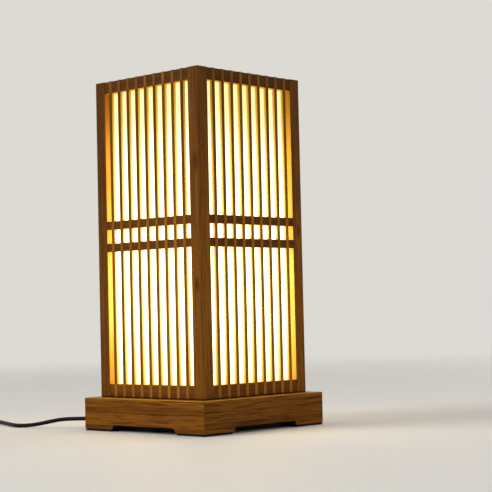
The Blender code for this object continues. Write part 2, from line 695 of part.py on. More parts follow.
def switch_shell(name, low, high, pocket_low, pocket_high):
    """Half of the switch's case, hollowed from its split side, with a notch for the cord at each end."""
    half_length, half_width = SWITCH_LENGTH / 2, SWITCH_WIDTH / 2
    mesh = bmesh.new()
    add_prism(mesh, rounded_outline(half_length, half_width, SWITCH_CORNER), low, high)
    shell = from_bmesh(name, mesh, "switch_black")
    inner = rounded_outline(half_length - SWITCH_WALL, half_width - SWITCH_WALL, SWITCH_CORNER - SWITCH_WALL)
    pocket = bmesh.new()
    add_prism(pocket, inner, pocket_low, pocket_high)
    combine(shell, from_bmesh("pocket", pocket, None), "DIFFERENCE")
    notch = bmesh.new()
    add_cylinder(notch, BORE_RADIUS, -SWITCH_LENGTH, SWITCH_LENGTH, "X", (0.0, SWITCH_AXIS))
    return combine(shell, from_bmesh("notch", notch, None), "DIFFERENCE")


def make_switch():
    frame = bpy.data.objects.new("switch_frame", None)
    bpy.context.scene.collection.objects.link(frame)
    frame.location = (*SWITCH_PLACE, 0)
    frame.rotation_euler.z = math.radians(-90)
    split = SWITCH_LOWER_HEIGHT + FIT_GAP
    lower = switch_shell("switch_lower_shell", 0, SWITCH_LOWER_HEIGHT, SWITCH_WALL, SWITCH_TOP)
    upper = switch_shell("switch_upper_shell", split, SWITCH_TOP, 0, SWITCH_TOP - SWITCH_WALL)
    opening = ROCKER_WIDTH / 2 + FIT_GAP
    cheek_low, cheek_high = ROCKER_PIVOT - CHEEK_DROP, SWITCH_TOP - SWITCH_WALL / 2
    reach = opening + CHEEK_THICKNESS
    half = CHEEK_LENGTH / 2
    cheeks = [((-half, near, cheek_low), (half, far, cheek_high)) for near, far in
              ((-reach, -opening), (opening, reach))]
    combine(upper, boxes("cheeks", cheeks), "UNION")
    window = ROCKER_LENGTH / 2 + ROCKER_CLEARANCE
    low = (-window, -opening, SWITCH_TOP - 2 * SWITCH_WALL)
    high = (window, opening, SWITCH_TOP + SWITCH_WALL)
    combine(upper, boxes("window", [(low, high)]), "DIFFERENCE")
    bore = bmesh.new()
    add_cylinder(bore, PIN_RADIUS + FIT_GAP, -reach - FIT_GAP, reach + FIT_GAP, "Y", (0.0, ROCKER_PIVOT))
    combine(upper, from_bmesh("pin_bore", bore, None), "DIFFERENCE")
    half = ROCKER_LENGTH / 2
    top = ROCKER_RISE
    outline = [(half, top + ROCKER_DISH), (0, top), (-half, top + ROCKER_DISH), (-half + FIT_GAP, 0),
               (0, -ROCKER_KEEL), (half - FIT_GAP, 0)]
    mesh = bmesh.new()
    verts = add_prism(mesh, outline, -ROCKER_WIDTH / 2, ROCKER_WIDTH / 2)
    bmesh.ops.transform(mesh, matrix=ALONG_Y, verts=verts)
    rocker = from_bmesh("switch_rocker", mesh, "switch_black")
    pin = bmesh.new()
    pin_reach = ROCKER_WIDTH / 2 + PIN_LENGTH
    add_cylinder(pin, PIN_RADIUS, -pin_reach, pin_reach, "Y")
    combine(rocker, from_bmesh("pins", pin, None), "UNION")
    rocker.location.z = ROCKER_PIVOT
    rocker.rotation_euler.y = math.radians(ROCKER_TILT)
    for item in (lower, upper, rocker):
        item.parent = frame


def coil_curve():
    """Piled loops: the spiral runs in and out by turns, and climbs a layer where it reverses."""
    per_layer = COIL_TURNS / COIL_LAYERS
    swing = per_layer * COIL_STEP
    outer = COIL_MEAN_RADIUS + swing / 2
    steps = int(round(COIL_TURNS * LOOP_POINTS))
    points = []
    for i in range(steps + 1):
        turns = COIL_TURNS * i / steps
        layer = min(int(turns / per_layer), COIL_LAYERS - 1)
        share = turns / per_layer - layer
        radius = outer - swing * (share if layer % 2 == 0 else 1 - share)
        height = COIL_FLOOR
        for reversal in range(1, COIL_LAYERS):
            climb = min(max((turns - reversal * per_layer) / COIL_CLIMB + 0.5, 0), 1)
            height += COIL_STEP * climb * climb * (3 - 2 * climb)
        angle = math.radians(COIL_START) + 2 * math.pi * turns
        across, along = radius * math.cos(angle), radius * math.sin(angle)
        points.append((COIL_PLACE[0] + across, COIL_PLACE[1] + along, height))
    # Each end runs on straight for one tube diameter
    first = straight(points[0], Vector(points[0]) - Vector(points[1]), 2 * CORD_RADIUS)
    last = straight(points[-1], Vector(points[-1]) - Vector(points[-2]), 2 * CORD_RADIUS)
    return np.array([first] + points + [last])


def print_coil_gap(points):
    """The least distance between turns that aren't neighbours along the tube, less its diameter."""
    fine = even_points(points, CORD_RADIUS)
    apart = 12
    gaps = [np.linalg.norm(fine[i + apart :] - fine[i], axis=1).min() for i in range(len(fine) - apart)]
    least = min(gaps)
    print("coil: least gap to itself %.2f mm" % ((least - 2 * CORD_RADIUS) * 1000))


def make_tie():
    """A band round all the coil's turns, square in section with its corners cut."""
    swing = COIL_TURNS / COIL_LAYERS * COIL_STEP
    half_across = swing / 2 + CORD_RADIUS + TIE_SLACK
    low = COIL_FLOOR - CORD_RADIUS - FIT_GAP
    high = COIL_FLOOR + (COIL_LAYERS - 1) * COIL_STEP + CORD_RADIUS + FIT_GAP
    middle, half_up = (low + high) / 2, (high - low) / 2
    corner = CORD_RADIUS
    inside = rounded_outline(half_across, half_up, corner)
    outside = rounded_outline(half_across + TIE_THICKNESS, half_up + TIE_THICKNESS, corner + TIE_THICKNESS)
    mesh = bmesh.new()
    loops = []
    for outline in (inside, outside):
        for along in (-TIE_WIDTH / 2, TIE_WIDTH / 2):
            loops.append([mesh.verts.new((a, along, b)) for a, b in outline])
    count = len(inside)
    for one, two in ((0, 1), (1, 3), (3, 2), (2, 0)):
        for i in range(count):
            j = (i + 1) % count
            mesh.faces.new((loops[one][i], loops[one][j], loops[two][j], loops[two][i]))
    tie = from_bmesh("cord_tie", mesh, "switch_black")
    turn = math.radians(TIE_ANGLE)
    tie.rotation_euler.z = turn
    tie.location = (COIL_PLACE[0] + COIL_MEAN_RADIUS * math.cos(turn),
                    COIL_PLACE[1] + COIL_MEAN_RADIUS * math.sin(turn), middle)


def make_plug(place):
    """A moulded two-blade plug that lies along +X from the end of its tapered tail."""
    body_end = PLUG_TAIL + PLUG_BODY_LENGTH
    half_width, half_height = PLUG_WIDTH / 2, PLUG_THICKNESS / 2
    inset = PLUG_SHOULDER_INSET
    sections = [(0, PLUG_TAIL_RADIUS, PLUG_TAIL_RADIUS),
                (PLUG_TAIL, PLUG_NECK_RADIUS, PLUG_NECK_RADIUS),
                (PLUG_TAIL + PLUG_SHOULDER, half_width - inset, half_height - inset),
                (body_end - PLUG_EDGE, half_width, half_height),
                (body_end, half_width - PLUG_EDGE, half_height - PLUG_EDGE)]
    mesh = bmesh.new()
    rings = []
    for along, across, up in sections:
        ring = []
        # The tail is round, and the body is a rounded oblong
        power = PLUG_ROUNDNESS if along > PLUG_TAIL else 1.0
        for a, b in circle(1.0, PLUG_SEGMENTS):
            a = math.copysign(abs(a) ** power, a) * across
            b = math.copysign(abs(b) ** power, b) * up
            ring.append(mesh.verts.new((along, a, b)))
        rings.append(ring)
    for one, two in zip(rings, rings[1:]):
        for i in range(PLUG_SEGMENTS):
            j = (i + 1) % PLUG_SEGMENTS
            mesh.faces.new((one[i], one[j], two[j], two[i]))
    mesh.faces.new(rings[0])
    mesh.faces.new(list(reversed(rings[-1])))
    body = from_bmesh("plug_body", mesh, "switch_black", smooth=True)
    frame = bpy.data.objects.new("plug_frame", None)
    bpy.context.scene.collection.objects.link(frame)
    frame.location = place
    slots = []
    blades = []
    for side, name in ((-1, "near"), (1, "far")):
        middle = side * BLADE_SPACING / 2
        low = (body_end - BLADE_SEAT, middle - BLADE_THICKNESS / 2, -BLADE_WIDTH / 2)
        high = (body_end + BLADE_LENGTH, middle + BLADE_THICKNESS / 2, BLADE_WIDTH / 2)
        room = (FIT_GAP, FIT_GAP, FIT_GAP)
        slots.append((tuple(Vector(low) - Vector(room)), tuple(Vector(high) + Vector(room))))
        blades.append(boxes("plug_blade_" + name, [(low, high)], "brass"))
    combine(body, boxes("slots", slots), "DIFFERENCE")
    for item in [body] + blades:
        item.parent = frame


def make_cord():
    gland_start = (-BASE_SIDE / 2 - FIT_GAP, -GLAND_BACK, GLAND_RISE)
    gland_mouth = (GLAND_MOUTH, -GLAND_BACK, GLAND_RISE)
    entry = SWITCH_LENGTH / 2 - SWITCH_ENTRY
    switch_in = (SWITCH_PLACE[0], SWITCH_PLACE[1] + entry, SWITCH_AXIS)
    switch_out = (SWITCH_PLACE[0], SWITCH_PLACE[1] - entry, SWITCH_AXIS)
    ahead = 2 * CORD_RADIUS
    down = (0, -1, 0)
    out_of_gland = [gland_start, gland_mouth, straight(gland_mouth, (-1, 0, 0), ahead)]
    into_switch = [straight(switch_in, down, -ahead), switch_in]
    lead("lead_to_switch", out_of_gland + SEEN_ROUTE + into_switch)
    coil = coil_curve()
    print_coil_gap(coil)
    tube("cord_coil", coil, "cord_black", resolution=1)
    start_way = coil[1] - coil[0]
    coil_in = straight(coil[0], start_way, -FIT_GAP)
    into_coil = [straight(coil_in, start_way, -ahead), coil_in]
    lead("lead_to_coil", [switch_out, straight(switch_out, down, ahead)] + into_coil)
    end_way = coil[-1] - coil[-2]
    coil_out = straight(coil[-1], end_way, FIT_GAP)
    plug_place = (coil_out[0] + PLUG_REACH, coil_out[1], PLUG_AXIS)
    plug_in = (plug_place[0] - FIT_GAP, plug_place[1], plug_place[2])
    middle = (Vector(coil_out) + Vector(plug_in)) / 2
    lead("lead_to_plug", [coil_out, straight(coil_out, end_way, ahead), tuple(middle),
                          straight(plug_in, (1, 0, 0), -ahead), plug_in])
    make_plug(plug_place)
    gland_end = (-BASE_SIDE / 2, -GLAND_BACK, GLAND_RISE)
    board_inside = (-INNER_HALF, -GLAND_BACK, GLAND_RISE)
    past_board = straight(board_inside, (1, 0, 0), 2 * ahead)
    along_panel = [tuple(Vector(board_inside) + Vector(step)) for step in STEPS_FROM_BOARD]
    lead("lead_in_base", [gland_end, board_inside, past_board] + along_panel + INNER_ROUTE)


def main():
    clear_scene()
    make_materials()
    make_boards()
    make_panel()
    make_cover()
    make_corner_pieces()
    make_posts()
    make_faces()
    make_holder()
    make_bulb()
    make_gland()
    make_switch()
    make_tie()
    make_cord()


main()
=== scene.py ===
"""The looks of a lit bamboo lantern lamp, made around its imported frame.

Metres, +Z up, in the frame's own coordinates. The front face looks along -Y, the right face along +X.
"""
import math

import bmesh
import bpy
import numpy as np
from mathutils import Matrix, Vector


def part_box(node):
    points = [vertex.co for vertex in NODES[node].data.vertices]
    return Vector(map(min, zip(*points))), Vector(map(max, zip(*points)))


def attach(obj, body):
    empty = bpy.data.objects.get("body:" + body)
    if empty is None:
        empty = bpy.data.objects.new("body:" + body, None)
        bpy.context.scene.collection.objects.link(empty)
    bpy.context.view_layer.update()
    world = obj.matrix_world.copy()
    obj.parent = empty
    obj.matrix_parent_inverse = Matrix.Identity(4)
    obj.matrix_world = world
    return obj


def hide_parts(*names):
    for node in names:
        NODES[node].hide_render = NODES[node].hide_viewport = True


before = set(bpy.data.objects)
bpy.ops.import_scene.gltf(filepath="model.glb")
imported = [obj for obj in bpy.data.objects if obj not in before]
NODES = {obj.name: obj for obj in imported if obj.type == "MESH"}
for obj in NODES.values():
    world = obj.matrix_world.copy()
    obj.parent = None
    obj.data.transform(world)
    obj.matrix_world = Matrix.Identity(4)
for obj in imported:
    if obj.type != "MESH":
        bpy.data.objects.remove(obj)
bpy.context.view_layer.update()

# The photograph's camera
CAMERA_PLACE = (1.23486, -1.23856, 0.13535)
CAMERA_YAW = 43.136
CAMERA_PITCH = 2.597
CAMERA_ROLL = -1.308
CAMERA_LENS = 106.99
SENSOR_WIDTH = 36.0
CLIP_START = 0.01

# Clearance between pieces that meet
GAP = 0.0003

# Cord
CORD_RADIUS = 0.0024
SEEN_ROUTE = [
    (-0.1310, -0.0764, 0.0111), (-0.1420, -0.0802, 0.0108), (-0.1600, -0.0892, 0.0096),
    (-0.1770, -0.0990, 0.0061), (-0.1937, -0.1086, 0.0032), (-0.2065, -0.1135, 0.0026),
    (-0.2220, -0.1112, 0.0026), (-0.2400, -0.1040, 0.0026), (-0.2620, -0.0950, 0.0026),
    (-0.2830, -0.0868, 0.0026), (-0.3020, -0.0838, 0.0028), (-0.3185, -0.0915, 0.0040),
    (-0.3280, -0.1060, 0.0066),
]
SWITCH_ENTRY = 0.003
SWITCH_AXIS = 0.00765
COIL_PLACE = (-0.277, -0.190)
COIL_MEAN_RADIUS = 0.0273
COIL_TURNS = 8.0833
COIL_LAYERS = 4
COIL_STEP = 0.0058
COIL_START = 240.0
COIL_CLIMB = 0.5
COIL_FLOOR = 0.0037
COIL_SWING = COIL_TURNS / COIL_LAYERS * COIL_STEP
LOOP_POINTS = 48
CURVE_POINTS = 1200
TUBE_ROUNDNESS = 4

# Lattice
SLAT_COUNT = 9
SLAT_WIDTH = 0.0045
SLAT_DEPTH = 0.004
SLAT_END_GAP = 0.0083
MIDDLE_RAIL_HEIGHT = 0.0100
MIDDLE_RAIL_CLEAR = 0.0162
MIDDLE_PAIR_RISE = 0.0023

# Eased edges
BAR_EDGE = 0.0003
BOARD_EDGE = 0.0008

# The glow spills over the posts' inner edges in a picture, so they stand this much proud of the frame's posts
POST_SPILL = 0.0004

# Plinth
CUTOUT_HEIGHT = 0.0052
FOOT_LENGTH = 0.046
FOOT_SLOPE = 0.0045
SLOPE_STEPS = 16

# Levels and distances of the lantern, from the frame
LANTERN_BOTTOM, LANTERN_TOP = (corner.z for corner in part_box("post_front_right"))
LANTERN_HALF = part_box("post_front_right")[1].x
CLEAR_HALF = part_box("post_front_right")[0].x
RAIL_FRONT, RAIL_BACK = (corner.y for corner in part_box("front_top_rail"))
SLAT_PITCH = (CLEAR_HALF - SLAT_END_GAP - SLAT_WIDTH / 2) * 2 / (SLAT_COUNT - 1)
MIDDLE_HEIGHT = (LANTERN_BOTTOM + LANTERN_TOP) / 2 + MIDDLE_PAIR_RISE
MIDDLE_LOW = MIDDLE_HEIGHT - MIDDLE_RAIL_CLEAR / 2 - MIDDLE_RAIL_HEIGHT
MIDDLE_HIGH = MIDDLE_HEIGHT + MIDDLE_RAIL_CLEAR / 2

# The lit openings between the rails, from height to height
WINDOWS = [
    (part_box("front_bottom_rail")[1].z, MIDDLE_LOW),
    (MIDDLE_LOW + MIDDLE_RAIL_HEIGHT, MIDDLE_HIGH),
    (MIDDLE_HIGH + MIDDLE_RAIL_HEIGHT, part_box("front_top_rail")[0].z),
]

# Heights over which the bulb's light comes up from below and dies away above
BULB_RISE = (0.075, 0.140)
BULB_FALL = (0.300, 0.210)

# Knots in the posts: a middle and a radius
POST_KNOTS = [
    ((LANTERN_HALF - 0.0060, -LANTERN_HALF, 0.3056), 0.0058),
    ((LANTERN_HALF - 0.0070, -LANTERN_HALF, 0.1676), 0.0040),
    ((LANTERN_HALF, LANTERN_HALF - 0.0065, 0.2310), 0.0044),
    ((0.0060 - LANTERN_HALF, LANTERN_HALF, 0.1080), 0.0050),
    ((-LANTERN_HALF, 0.0075 - LANTERN_HALF, 0.3020), 0.0040),
]

# Bamboo's light and dark tones
TONES = {
    # The front copies and the flank and side copies of the posts, slats and boards differ by painted light
    # and shade, for how light falls on each face
    "post_front": ((0.205, 0.073, 0.0061), (0.091, 0.029, 0.0020)),
    "post_flank": ((0.230, 0.083, 0.0069), (0.101, 0.033, 0.0023)),
    "front_slat": ((0.250, 0.100, 0.0072), (0.080, 0.026, 0.0018)),
    "side_slat": ((0.350, 0.142, 0.0102), (0.080, 0.026, 0.0018)),
    # Slats are painted paler where they cross the rails, as painted light
    "crossing": ((0.360, 0.165, 0.0170), (0.110, 0.045, 0.0040)),
    "front_base": ((0.265, 0.096, 0.0070), (0.112, 0.034, 0.0024)),
    "side_base": ((0.285, 0.104, 0.0076), (0.082, 0.024, 0.0017)),
    # The ledge is painted lighter as painted glow from the lantern, and its eased edge (rim) lighter still as
    # a painted highlight
    "ledge": ((0.420, 0.175, 0.015), (0.240, 0.090, 0.007)),
    "rim": ((0.68, 0.34, 0.036), (0.46, 0.20, 0.017)),
    # The rails are darker than the posts as painted shade, for their place in shadow behind the slats
    "rail": ((0.187, 0.055, 0.0047), (0.060, 0.016, 0.0011)),
    # The cut-out's inner faces are painted shade
    "painted_cutout_shade": ((0.040, 0.016, 0.004), (0.018, 0.007, 0.002)),
    "softwood": ((0.45, 0.30, 0.15), (0.30, 0.18, 0.08)),
}

# Widths of the strips that the bamboo is glued up from
POST_STRIP = 0.025
RAIL_STRIP = 0.03
BOARD_STRIP = 0.0072
PANEL_STRIP = 0.012
BLOCK_STRIP = 0.05

# Bamboo's grain, as features a metre along the fibres and across them
WAVER_GRAIN = (9, 60, 60)
SHADE_GRAIN = (3, 70, 70)
STREAK_GRAIN = (7, 520, 520)
FIBRE_GRAIN = (45, 2400, 2400)
BEND_GRAIN = (10, 25, 25)
STRIPE_GRAIN = (8, 380, 380)
VEIN_GRAIN = (20, 900, 900)
EDGE_GRAIN = (25, 700, 700)

# Bamboo's lacquer
LACQUER_SPECULAR = 0.045
LACQUER_ROUGHNESS = (0.36, 0.52)
GRAIN_DEPTH = 0.00012

# Bulb and rocker
CAP_WALL = 0.0009
BULB_SIDES = 72
ROCKER_HALF = 0.008
ROCKER_RISE = 0.0043
ROCKER_DISH = 0.0011

# Floor, surroundings and light; each light has a place, a size and a power
FLOOR_RADIUS = 5.0
FLOOR_SIDES = 96
FLOOR_FADE = (0.9, 2.8)
FLOOR_DROP = 0.0001
PALE_COLOUR = (0.72, 0.70, 0.66, 1.0)
STUDIO_COLOUR = (1.0, 0.99, 0.97, 1.0)
STUDIO_STRENGTH = 0.36
LIGHT_AIM = (0.0, 0.0, 0.2)
LIGHTS = {
    "key": ((-1.25, -2.3, 1.7), 1.8, 58.0),
    "fill": ((2.6, -0.6, 1.3), 1.8, 15.0),
    "back": ((0.6, 2.6, 1.9), 2.0, 26.0),
}

# Turns about Z from the front face and from the front right corner
FACES = {"front": 0, "right": 90, "rear": 180, "left": 270}
CORNERS = {"front_right": 0, "rear_right": 90, "rear_left": 180, "front_left": 270}

# A face looks straight along an axis where its normal's part along it is larger than this
STRAIGHT = 0.95

# Finishes of the nodes that keep their own shape, by a part of their names
NODE_FINISHES = {
    "base_top_panel": "panel", "base_cover": "hardboard", "glue_block": "softwood", "foot_pad": "felt_pad",
    "tie_screw": "steel", "holder_screw": "steel", "holder_shell": "brass", "holder_contact": "brass",
    "bulb_contact": "bakelite", "lead_in_base": "cord_black", "_diffuser": "diffuser_lit",
}

MATERIALS = {}


def centre(node):
    """The middle of a node's box."""
    return [(low + high) / 2 for low, high in zip(*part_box(node))]


def smooth_step(share):
    """A share from 0 to 1 that starts and ends gently."""
    share = min(max(share, 0), 1)
    return share * share * (3 - 2 * share)


# Materials


class Graph:
    """A tree of nodes. Most calls add a node and return its output, and take outputs or constants."""

    def __init__(self, owner, shader="Principled BSDF", output="Material Output"):
        owner.use_nodes = True
        self.tree = owner.node_tree
        self.shader = self.tree.nodes[shader]
        self.surface = self.tree.nodes[output].inputs["Surface"]

    def fill(self, socket, value):
        if isinstance(value, bpy.types.NodeSocket):
            self.tree.links.new(value, socket)
        else:
            socket.default_value = value

    def node(self, kind, *values, **settings):
        """A node with these settings and with its first sockets filled."""
        node = self.tree.nodes.new("ShaderNode" + kind)
        for key, value in settings.items():
            setattr(node, key, value)
        for socket, value in zip(node.inputs, values):
            self.fill(socket, value)
        return node

    def fill_named(self, node, **values):
        """Fill a node's sockets, named with underscores for spaces, and return its first output."""
        for key, value in values.items():
            self.fill(node.inputs[key.replace("_", " ")], value)
        return node.outputs[0]

    def finish(self, **values):
        self.fill_named(self.shader, **values)

    def mix_shaders(self, share, one, two):
        """Send a mix of two shaders to the surface."""
        self.fill(self.surface, self.node("MixShader", share, one.outputs[0], two.outputs[0]).outputs[0])

    def math(self, operation, one, two=0.0):
        return self.node("Math", one, two, operation=operation).outputs[0]

    def vector(self, operation, one, two):
        return self.node("VectorMath", one, two, operation=operation).outputs["Vector"]

    def length(self, vector):
        return self.node("VectorMath", vector, operation="LENGTH").outputs["Value"]

    def place(self, order="XYZ"):
        """Object coordinates in metres as a vector and as numbers, in an order."""
        parts = self.node("SeparateXYZ", self.node("TexCoord").outputs["Object"]).outputs
        axes = [parts[axis] for axis in order]
        return self.node("CombineXYZ", *axes).outputs[0], axes

    def noise(self, vector, grain, detail=2.0, roughness=0.5, run=1.0):
        """Noise from 0 to 1, by features a metre; a run multiplies those along the first axis."""
        node = self.node("TexNoise", self.vector("MULTIPLY", vector, (grain[0] * run, *grain[1:])))
        return self.fill_named(node, Scale=1.0, Detail=detail, Roughness=roughness)

    def chance(self, value):
        """A random number from 0 to 1 for each value."""
        return self.fill_named(self.node("TexWhiteNoise", noise_dimensions="1D"), W=value)

    def remap(self, value, low, high, to_low=0.0, to_high=1.0, smooth=False):
        kind = "SMOOTHSTEP" if smooth else "LINEAR"
        return self.node("MapRange", value, low, high, to_low, to_high, interpolation_type=kind).outputs[0]

    def mix(self, share, one, two):
        """A mix of two colours."""
        node = self.node("Mix", share, data_type="RGBA")
        for socket, colour in ((node.inputs[6], one), (node.inputs[7], two)):
            self.fill(socket, (*colour, 1.0) if isinstance(colour, tuple) else colour)
        return node.outputs[2]

    def blend(self, colour, value, limits, tone, strength=1.0):
        """A colour mixed with a tone, up to a strength, as a value goes from one limit to the other."""
        return self.mix(self.remap(value, *limits, 0.0, strength, smooth=True), colour, tone)

    def total(self, *weighted):
        """A half plus, for each value, its weight times its distance from a middle."""
        result = 0.5
        for value, weight, middle in weighted:
            term = self.math("MULTIPLY", self.math("SUBTRACT", value, middle), weight)
            result = self.math("ADD", result, term)
        return result

    def bump(self, height, distance):
        return self.fill_named(self.node("Bump"), Height=height, Distance=distance, Strength=1.0)


def new_material(name):
    MATERIALS[name] = bpy.data.materials.new(name)
    return Graph(MATERIALS[name])


def times(colour, share):
    return tuple(part * share for part in colour)


def near_bulb(g, z):
    """A share that is 1 at the bulb's heights and 0 well above and below."""
    return g.math("MULTIPLY", g.remap(z, *BULB_RISE, smooth=True), g.remap(z, *BULB_FALL, smooth=True))


def from_middle(g, x, y):
    """The distance from the lamp's middle, measured square to its nearest face."""
    return g.math("MAXIMUM", g.math("ABSOLUTE", x), g.math("ABSOLUTE", y))


def add_stripes(g, place, colour, dark, strength, run):
    """Lay bent dark stripes and finer veins over a colour."""
    bend_reach = 0.006
    bend = g.math("MULTIPLY", g.noise(place, BEND_GRAIN), bend_reach)
    bent = g.vector("ADD", place, g.node("CombineXYZ", 0.0, bend).outputs[0])
    stripe, vein = g.noise(bent, STRIPE_GRAIN, 4, 0.6, run), g.noise(bent, VEIN_GRAIN, 2, 0.6)
    colour = g.blend(colour, stripe, (0.49, 0.64), times(dark, 0.7), strength)
    return g.blend(colour, vein, (0.50, 0.72), times(dark, 0.6), strength)


def add_knot(g, place, colour, dark, streak, middle, radius):
    """Lay a dark knot over a colour, longer along the fibres and ragged at its rim."""
    shape, core, rim, strength = (0.45, 1.0, 1.0), 0.5 * radius, 1.9 * radius, 0.95
    distance = g.length(g.vector("MULTIPLY", g.vector("SUBTRACT", place, middle), shape))
    ragged = g.math("ADD", distance, g.math("MULTIPLY", streak, radius))
    return g.blend(colour, ragged, (rim, core), times(dark, 0.7), strength)


def bamboo(name, order, pitch, tones, wobble=0.0, seam=0.0, contrast=1.0, streaks=0.0, knots=(), fade=0.0,
           glow=0.0, run=1.0):
    """Lacquered bamboo: strips of one pitch with their own tone, long streaks, fibres and knots.

    The order names the axis along the fibres, then the one across the strips, then the last one. The fade
    paints pieces of the lantern lighter towards its foot and darker towards its top, as painted light and
    shade, with painted shade along the joint at its bottom, and the glow paints them paler around the bulb. A
    larger run makes the streaks shorter.
    """
    light, dark = tones
    strip_weight, shade_weight, streak_weight, fibre_weight, painted_glow_middle = 0.55, 0.7, 1.3, 0.35, 0.25
    g = new_material(name)
    place, axes = g.place(order)
    _, across, through = axes
    z = axes[order.index("Z")]
    waver = g.math("MULTIPLY", g.noise(place, WAVER_GRAIN), wobble)
    strip = g.math("ADD", g.math("ADD", g.math("DIVIDE", across, pitch), waver), 0.5)
    # Strips on the two sides of the lamp have different numbers, so that their tones differ
    side_offset = g.math("MULTIPLY", g.math("GREATER_THAN", through, 0.0), 31.0)
    own_tone = g.chance(g.math("ADD", g.math("FLOOR", strip), side_offset))
    shade = g.noise(place, SHADE_GRAIN)
    streak = g.noise(place, STREAK_GRAIN, 4, 0.65, run)
    fibre = g.noise(place, FIBRE_GRAIN)
    terms = [(own_tone, strip_weight * min(contrast, 1.0), 0.5), (shade, shade_weight * contrast, 0.5),
             (streak, streak_weight * contrast, 0.5), (fibre, fibre_weight, 0.5)]
    # Painted light and shade: lighter towards the lantern's foot and darker towards its top
    if fade:
        terms.append((g.remap(z, LANTERN_BOTTOM, LANTERN_TOP, 1.0, 0.0), fade, 0.5))
    # Painted glow: paler at the bulb's heights
    if glow:
        terms.append((near_bulb(g, z), glow, painted_glow_middle))
    colour = g.mix(g.total(*terms), dark, light)
    if streaks:
        colour = add_stripes(g, place, colour, dark, streaks, run)
    for middle, radius in knots:
        middle = tuple(middle["XYZ".index(axis)] for axis in order)
        colour = add_knot(g, place, colour, dark, streak, middle, radius)
    if seam:
        edge = g.math("ABSOLUTE", g.math("SUBTRACT", g.math("FRACT", strip), 0.5))
        colour = g.blend(colour, edge, (0.5 - seam, 0.5), times(dark, 0.5), 0.5)
    if fade:
        # Painted shade along the joint between the lantern and the base
        joint_shade_end, joint_shade = LANTERN_BOTTOM + 0.0024, LANTERN_BOTTOM + 0.0006
        colour = g.blend(colour, z, (joint_shade_end, joint_shade), times(dark, 0.3), 0.9)
    height = g.total((streak, 0.6, 0.5), (fibre, 0.5, 0.5))
    g.finish(Base_Color=colour, Roughness=g.remap(fibre, 0.2, 0.8, *LACQUER_ROUGHNESS),
             Normal=g.bump(height, GRAIN_DEPTH), Specular_IOR_Level=LACQUER_SPECULAR)


def painted_glow_edge(name, near, far, depth, tints=None, grain=0.12):
    """An edge painted with the glow of the lamp behind it, from a near tone to a far one by its depth.

    The tints are painted light and shade, for heights away from the bulb, at the bulb and at the lantern's
    top. The grain is how far the fibres shift the tone.
    """
    g = new_material(name)
    place, (z, x, y) = g.place("ZXY")
    fibre = g.noise(place, EDGE_GRAIN, 4, 0.65)
    deep = g.remap(from_middle(g, x, y), LANTERN_HALF, LANTERN_HALF - depth)
    colour = g.mix(g.math("ADD", deep, g.remap(fibre, 0.25, 0.75, -grain, grain)), near, far)
    # The tints paint the glow paler beside the bulb and darker towards the lantern's top
    if tints:
        away, beside, above = tints
        tint = g.mix(near_bulb(g, z), away, beside)
        tint = g.blend(tint, z, (BULB_FALL[0], LANTERN_TOP), above)
        colour = g.vector("MULTIPLY", colour, tint)
    g.finish(Base_Color=colour, Roughness=0.5, Normal=g.bump(fibre, 0.0001),
             Specular_IOR_Level=LACQUER_SPECULAR)


def diffuser():
    """A pale sheet lit from inside: yellower and dimmer near the top, with faint fibres."""
    body, top, foot = (1.0, 0.77, 0.40), (0.38, 0.30, 0.122), (0.75, 0.48, 0.20)
    inside_share, strength = 0.20, 3.0
    g = new_material("diffuser_lit")
    place, (x, y, z) = g.place()
    fibre = g.noise(place, (260, 260, 90), 4, 0.6)
    cloud = g.noise(place, (14, 14, 9))
    glow = g.blend(body, z, (0.290, 0.385), top)
    glow = g.blend(glow, z, (0.088, 0.045), foot)
    # The bulb stands behind the lower half, and the sheet is brightest there
    power = g.total((fibre, 0.10, 0.5), (cloud, 0.16, 0.5), (near_bulb(g, z), 0.5, -1.0))
    # Seen from inside the sheet is dimmer, so that the bulb stands out before it
    outside = g.math("GREATER_THAN", from_middle(g, x, y), -centre("front_diffuser")[1])
    power = g.math("MULTIPLY", power, g.remap(outside, 0.0, 1.0, inside_share, 1.0))
    sheet = g.mix(fibre, (0.40, 0.34, 0.20), (0.50, 0.43, 0.27))
    g.finish(Base_Color=sheet, Roughness=0.75, Specular_IOR_Level=0.1,
             Emission_Color=g.vector("MULTIPLY", glow, power), Emission_Strength=strength)


def moulded(name, colour, roughness, grain=900.0, specular=0.2):
    """Moulded plastic with a fine skin and a faint uneven gloss."""
    g = new_material(name)
    place, _ = g.place()
    skin = g.noise(place, (grain, grain, grain), 3, 0.6)
    cloud = g.noise(place, (30, 30, 30))
    tone = g.mix(g.total((skin, 0.6, 0.5), (cloud, 0.8, 0.5)), times(colour, 0.7), times(colour, 1.4))
    g.finish(Base_Color=tone, Roughness=g.remap(cloud, 0.3, 0.7, roughness - 0.06, roughness + 0.08),
             Normal=g.bump(skin, 0.00004), Specular_IOR_Level=specular)


def metal(name, colour, roughness):
    """Plated metal, slightly dulled in patches and finely scratched."""
    g = new_material(name)
    place, _ = g.place()
    patch = g.noise(place, (90, 90, 90), 4, 0.6)
    scratch = g.noise(place, (300, 300, 2600))
    g.finish(Base_Color=g.mix(patch, times(colour, 0.78), colour), Metallic=1.0,
             Roughness=g.remap(patch, 0.3, 0.7, roughness + 0.12, roughness - 0.05),
             Normal=g.bump(scratch, 0.00003))


def felt():
    """Dark pressed felt."""
    g = new_material("felt_pad")
    place, _ = g.place()
    fuzz = g.noise(place, (1500, 1500, 1500), 3, 0.7)
    g.finish(Base_Color=g.mix(fuzz, (0.006, 0.005, 0.005), (0.022, 0.019, 0.017)), Roughness=0.95,
             Normal=g.bump(fuzz, 0.0002), Specular_IOR_Level=0.05)


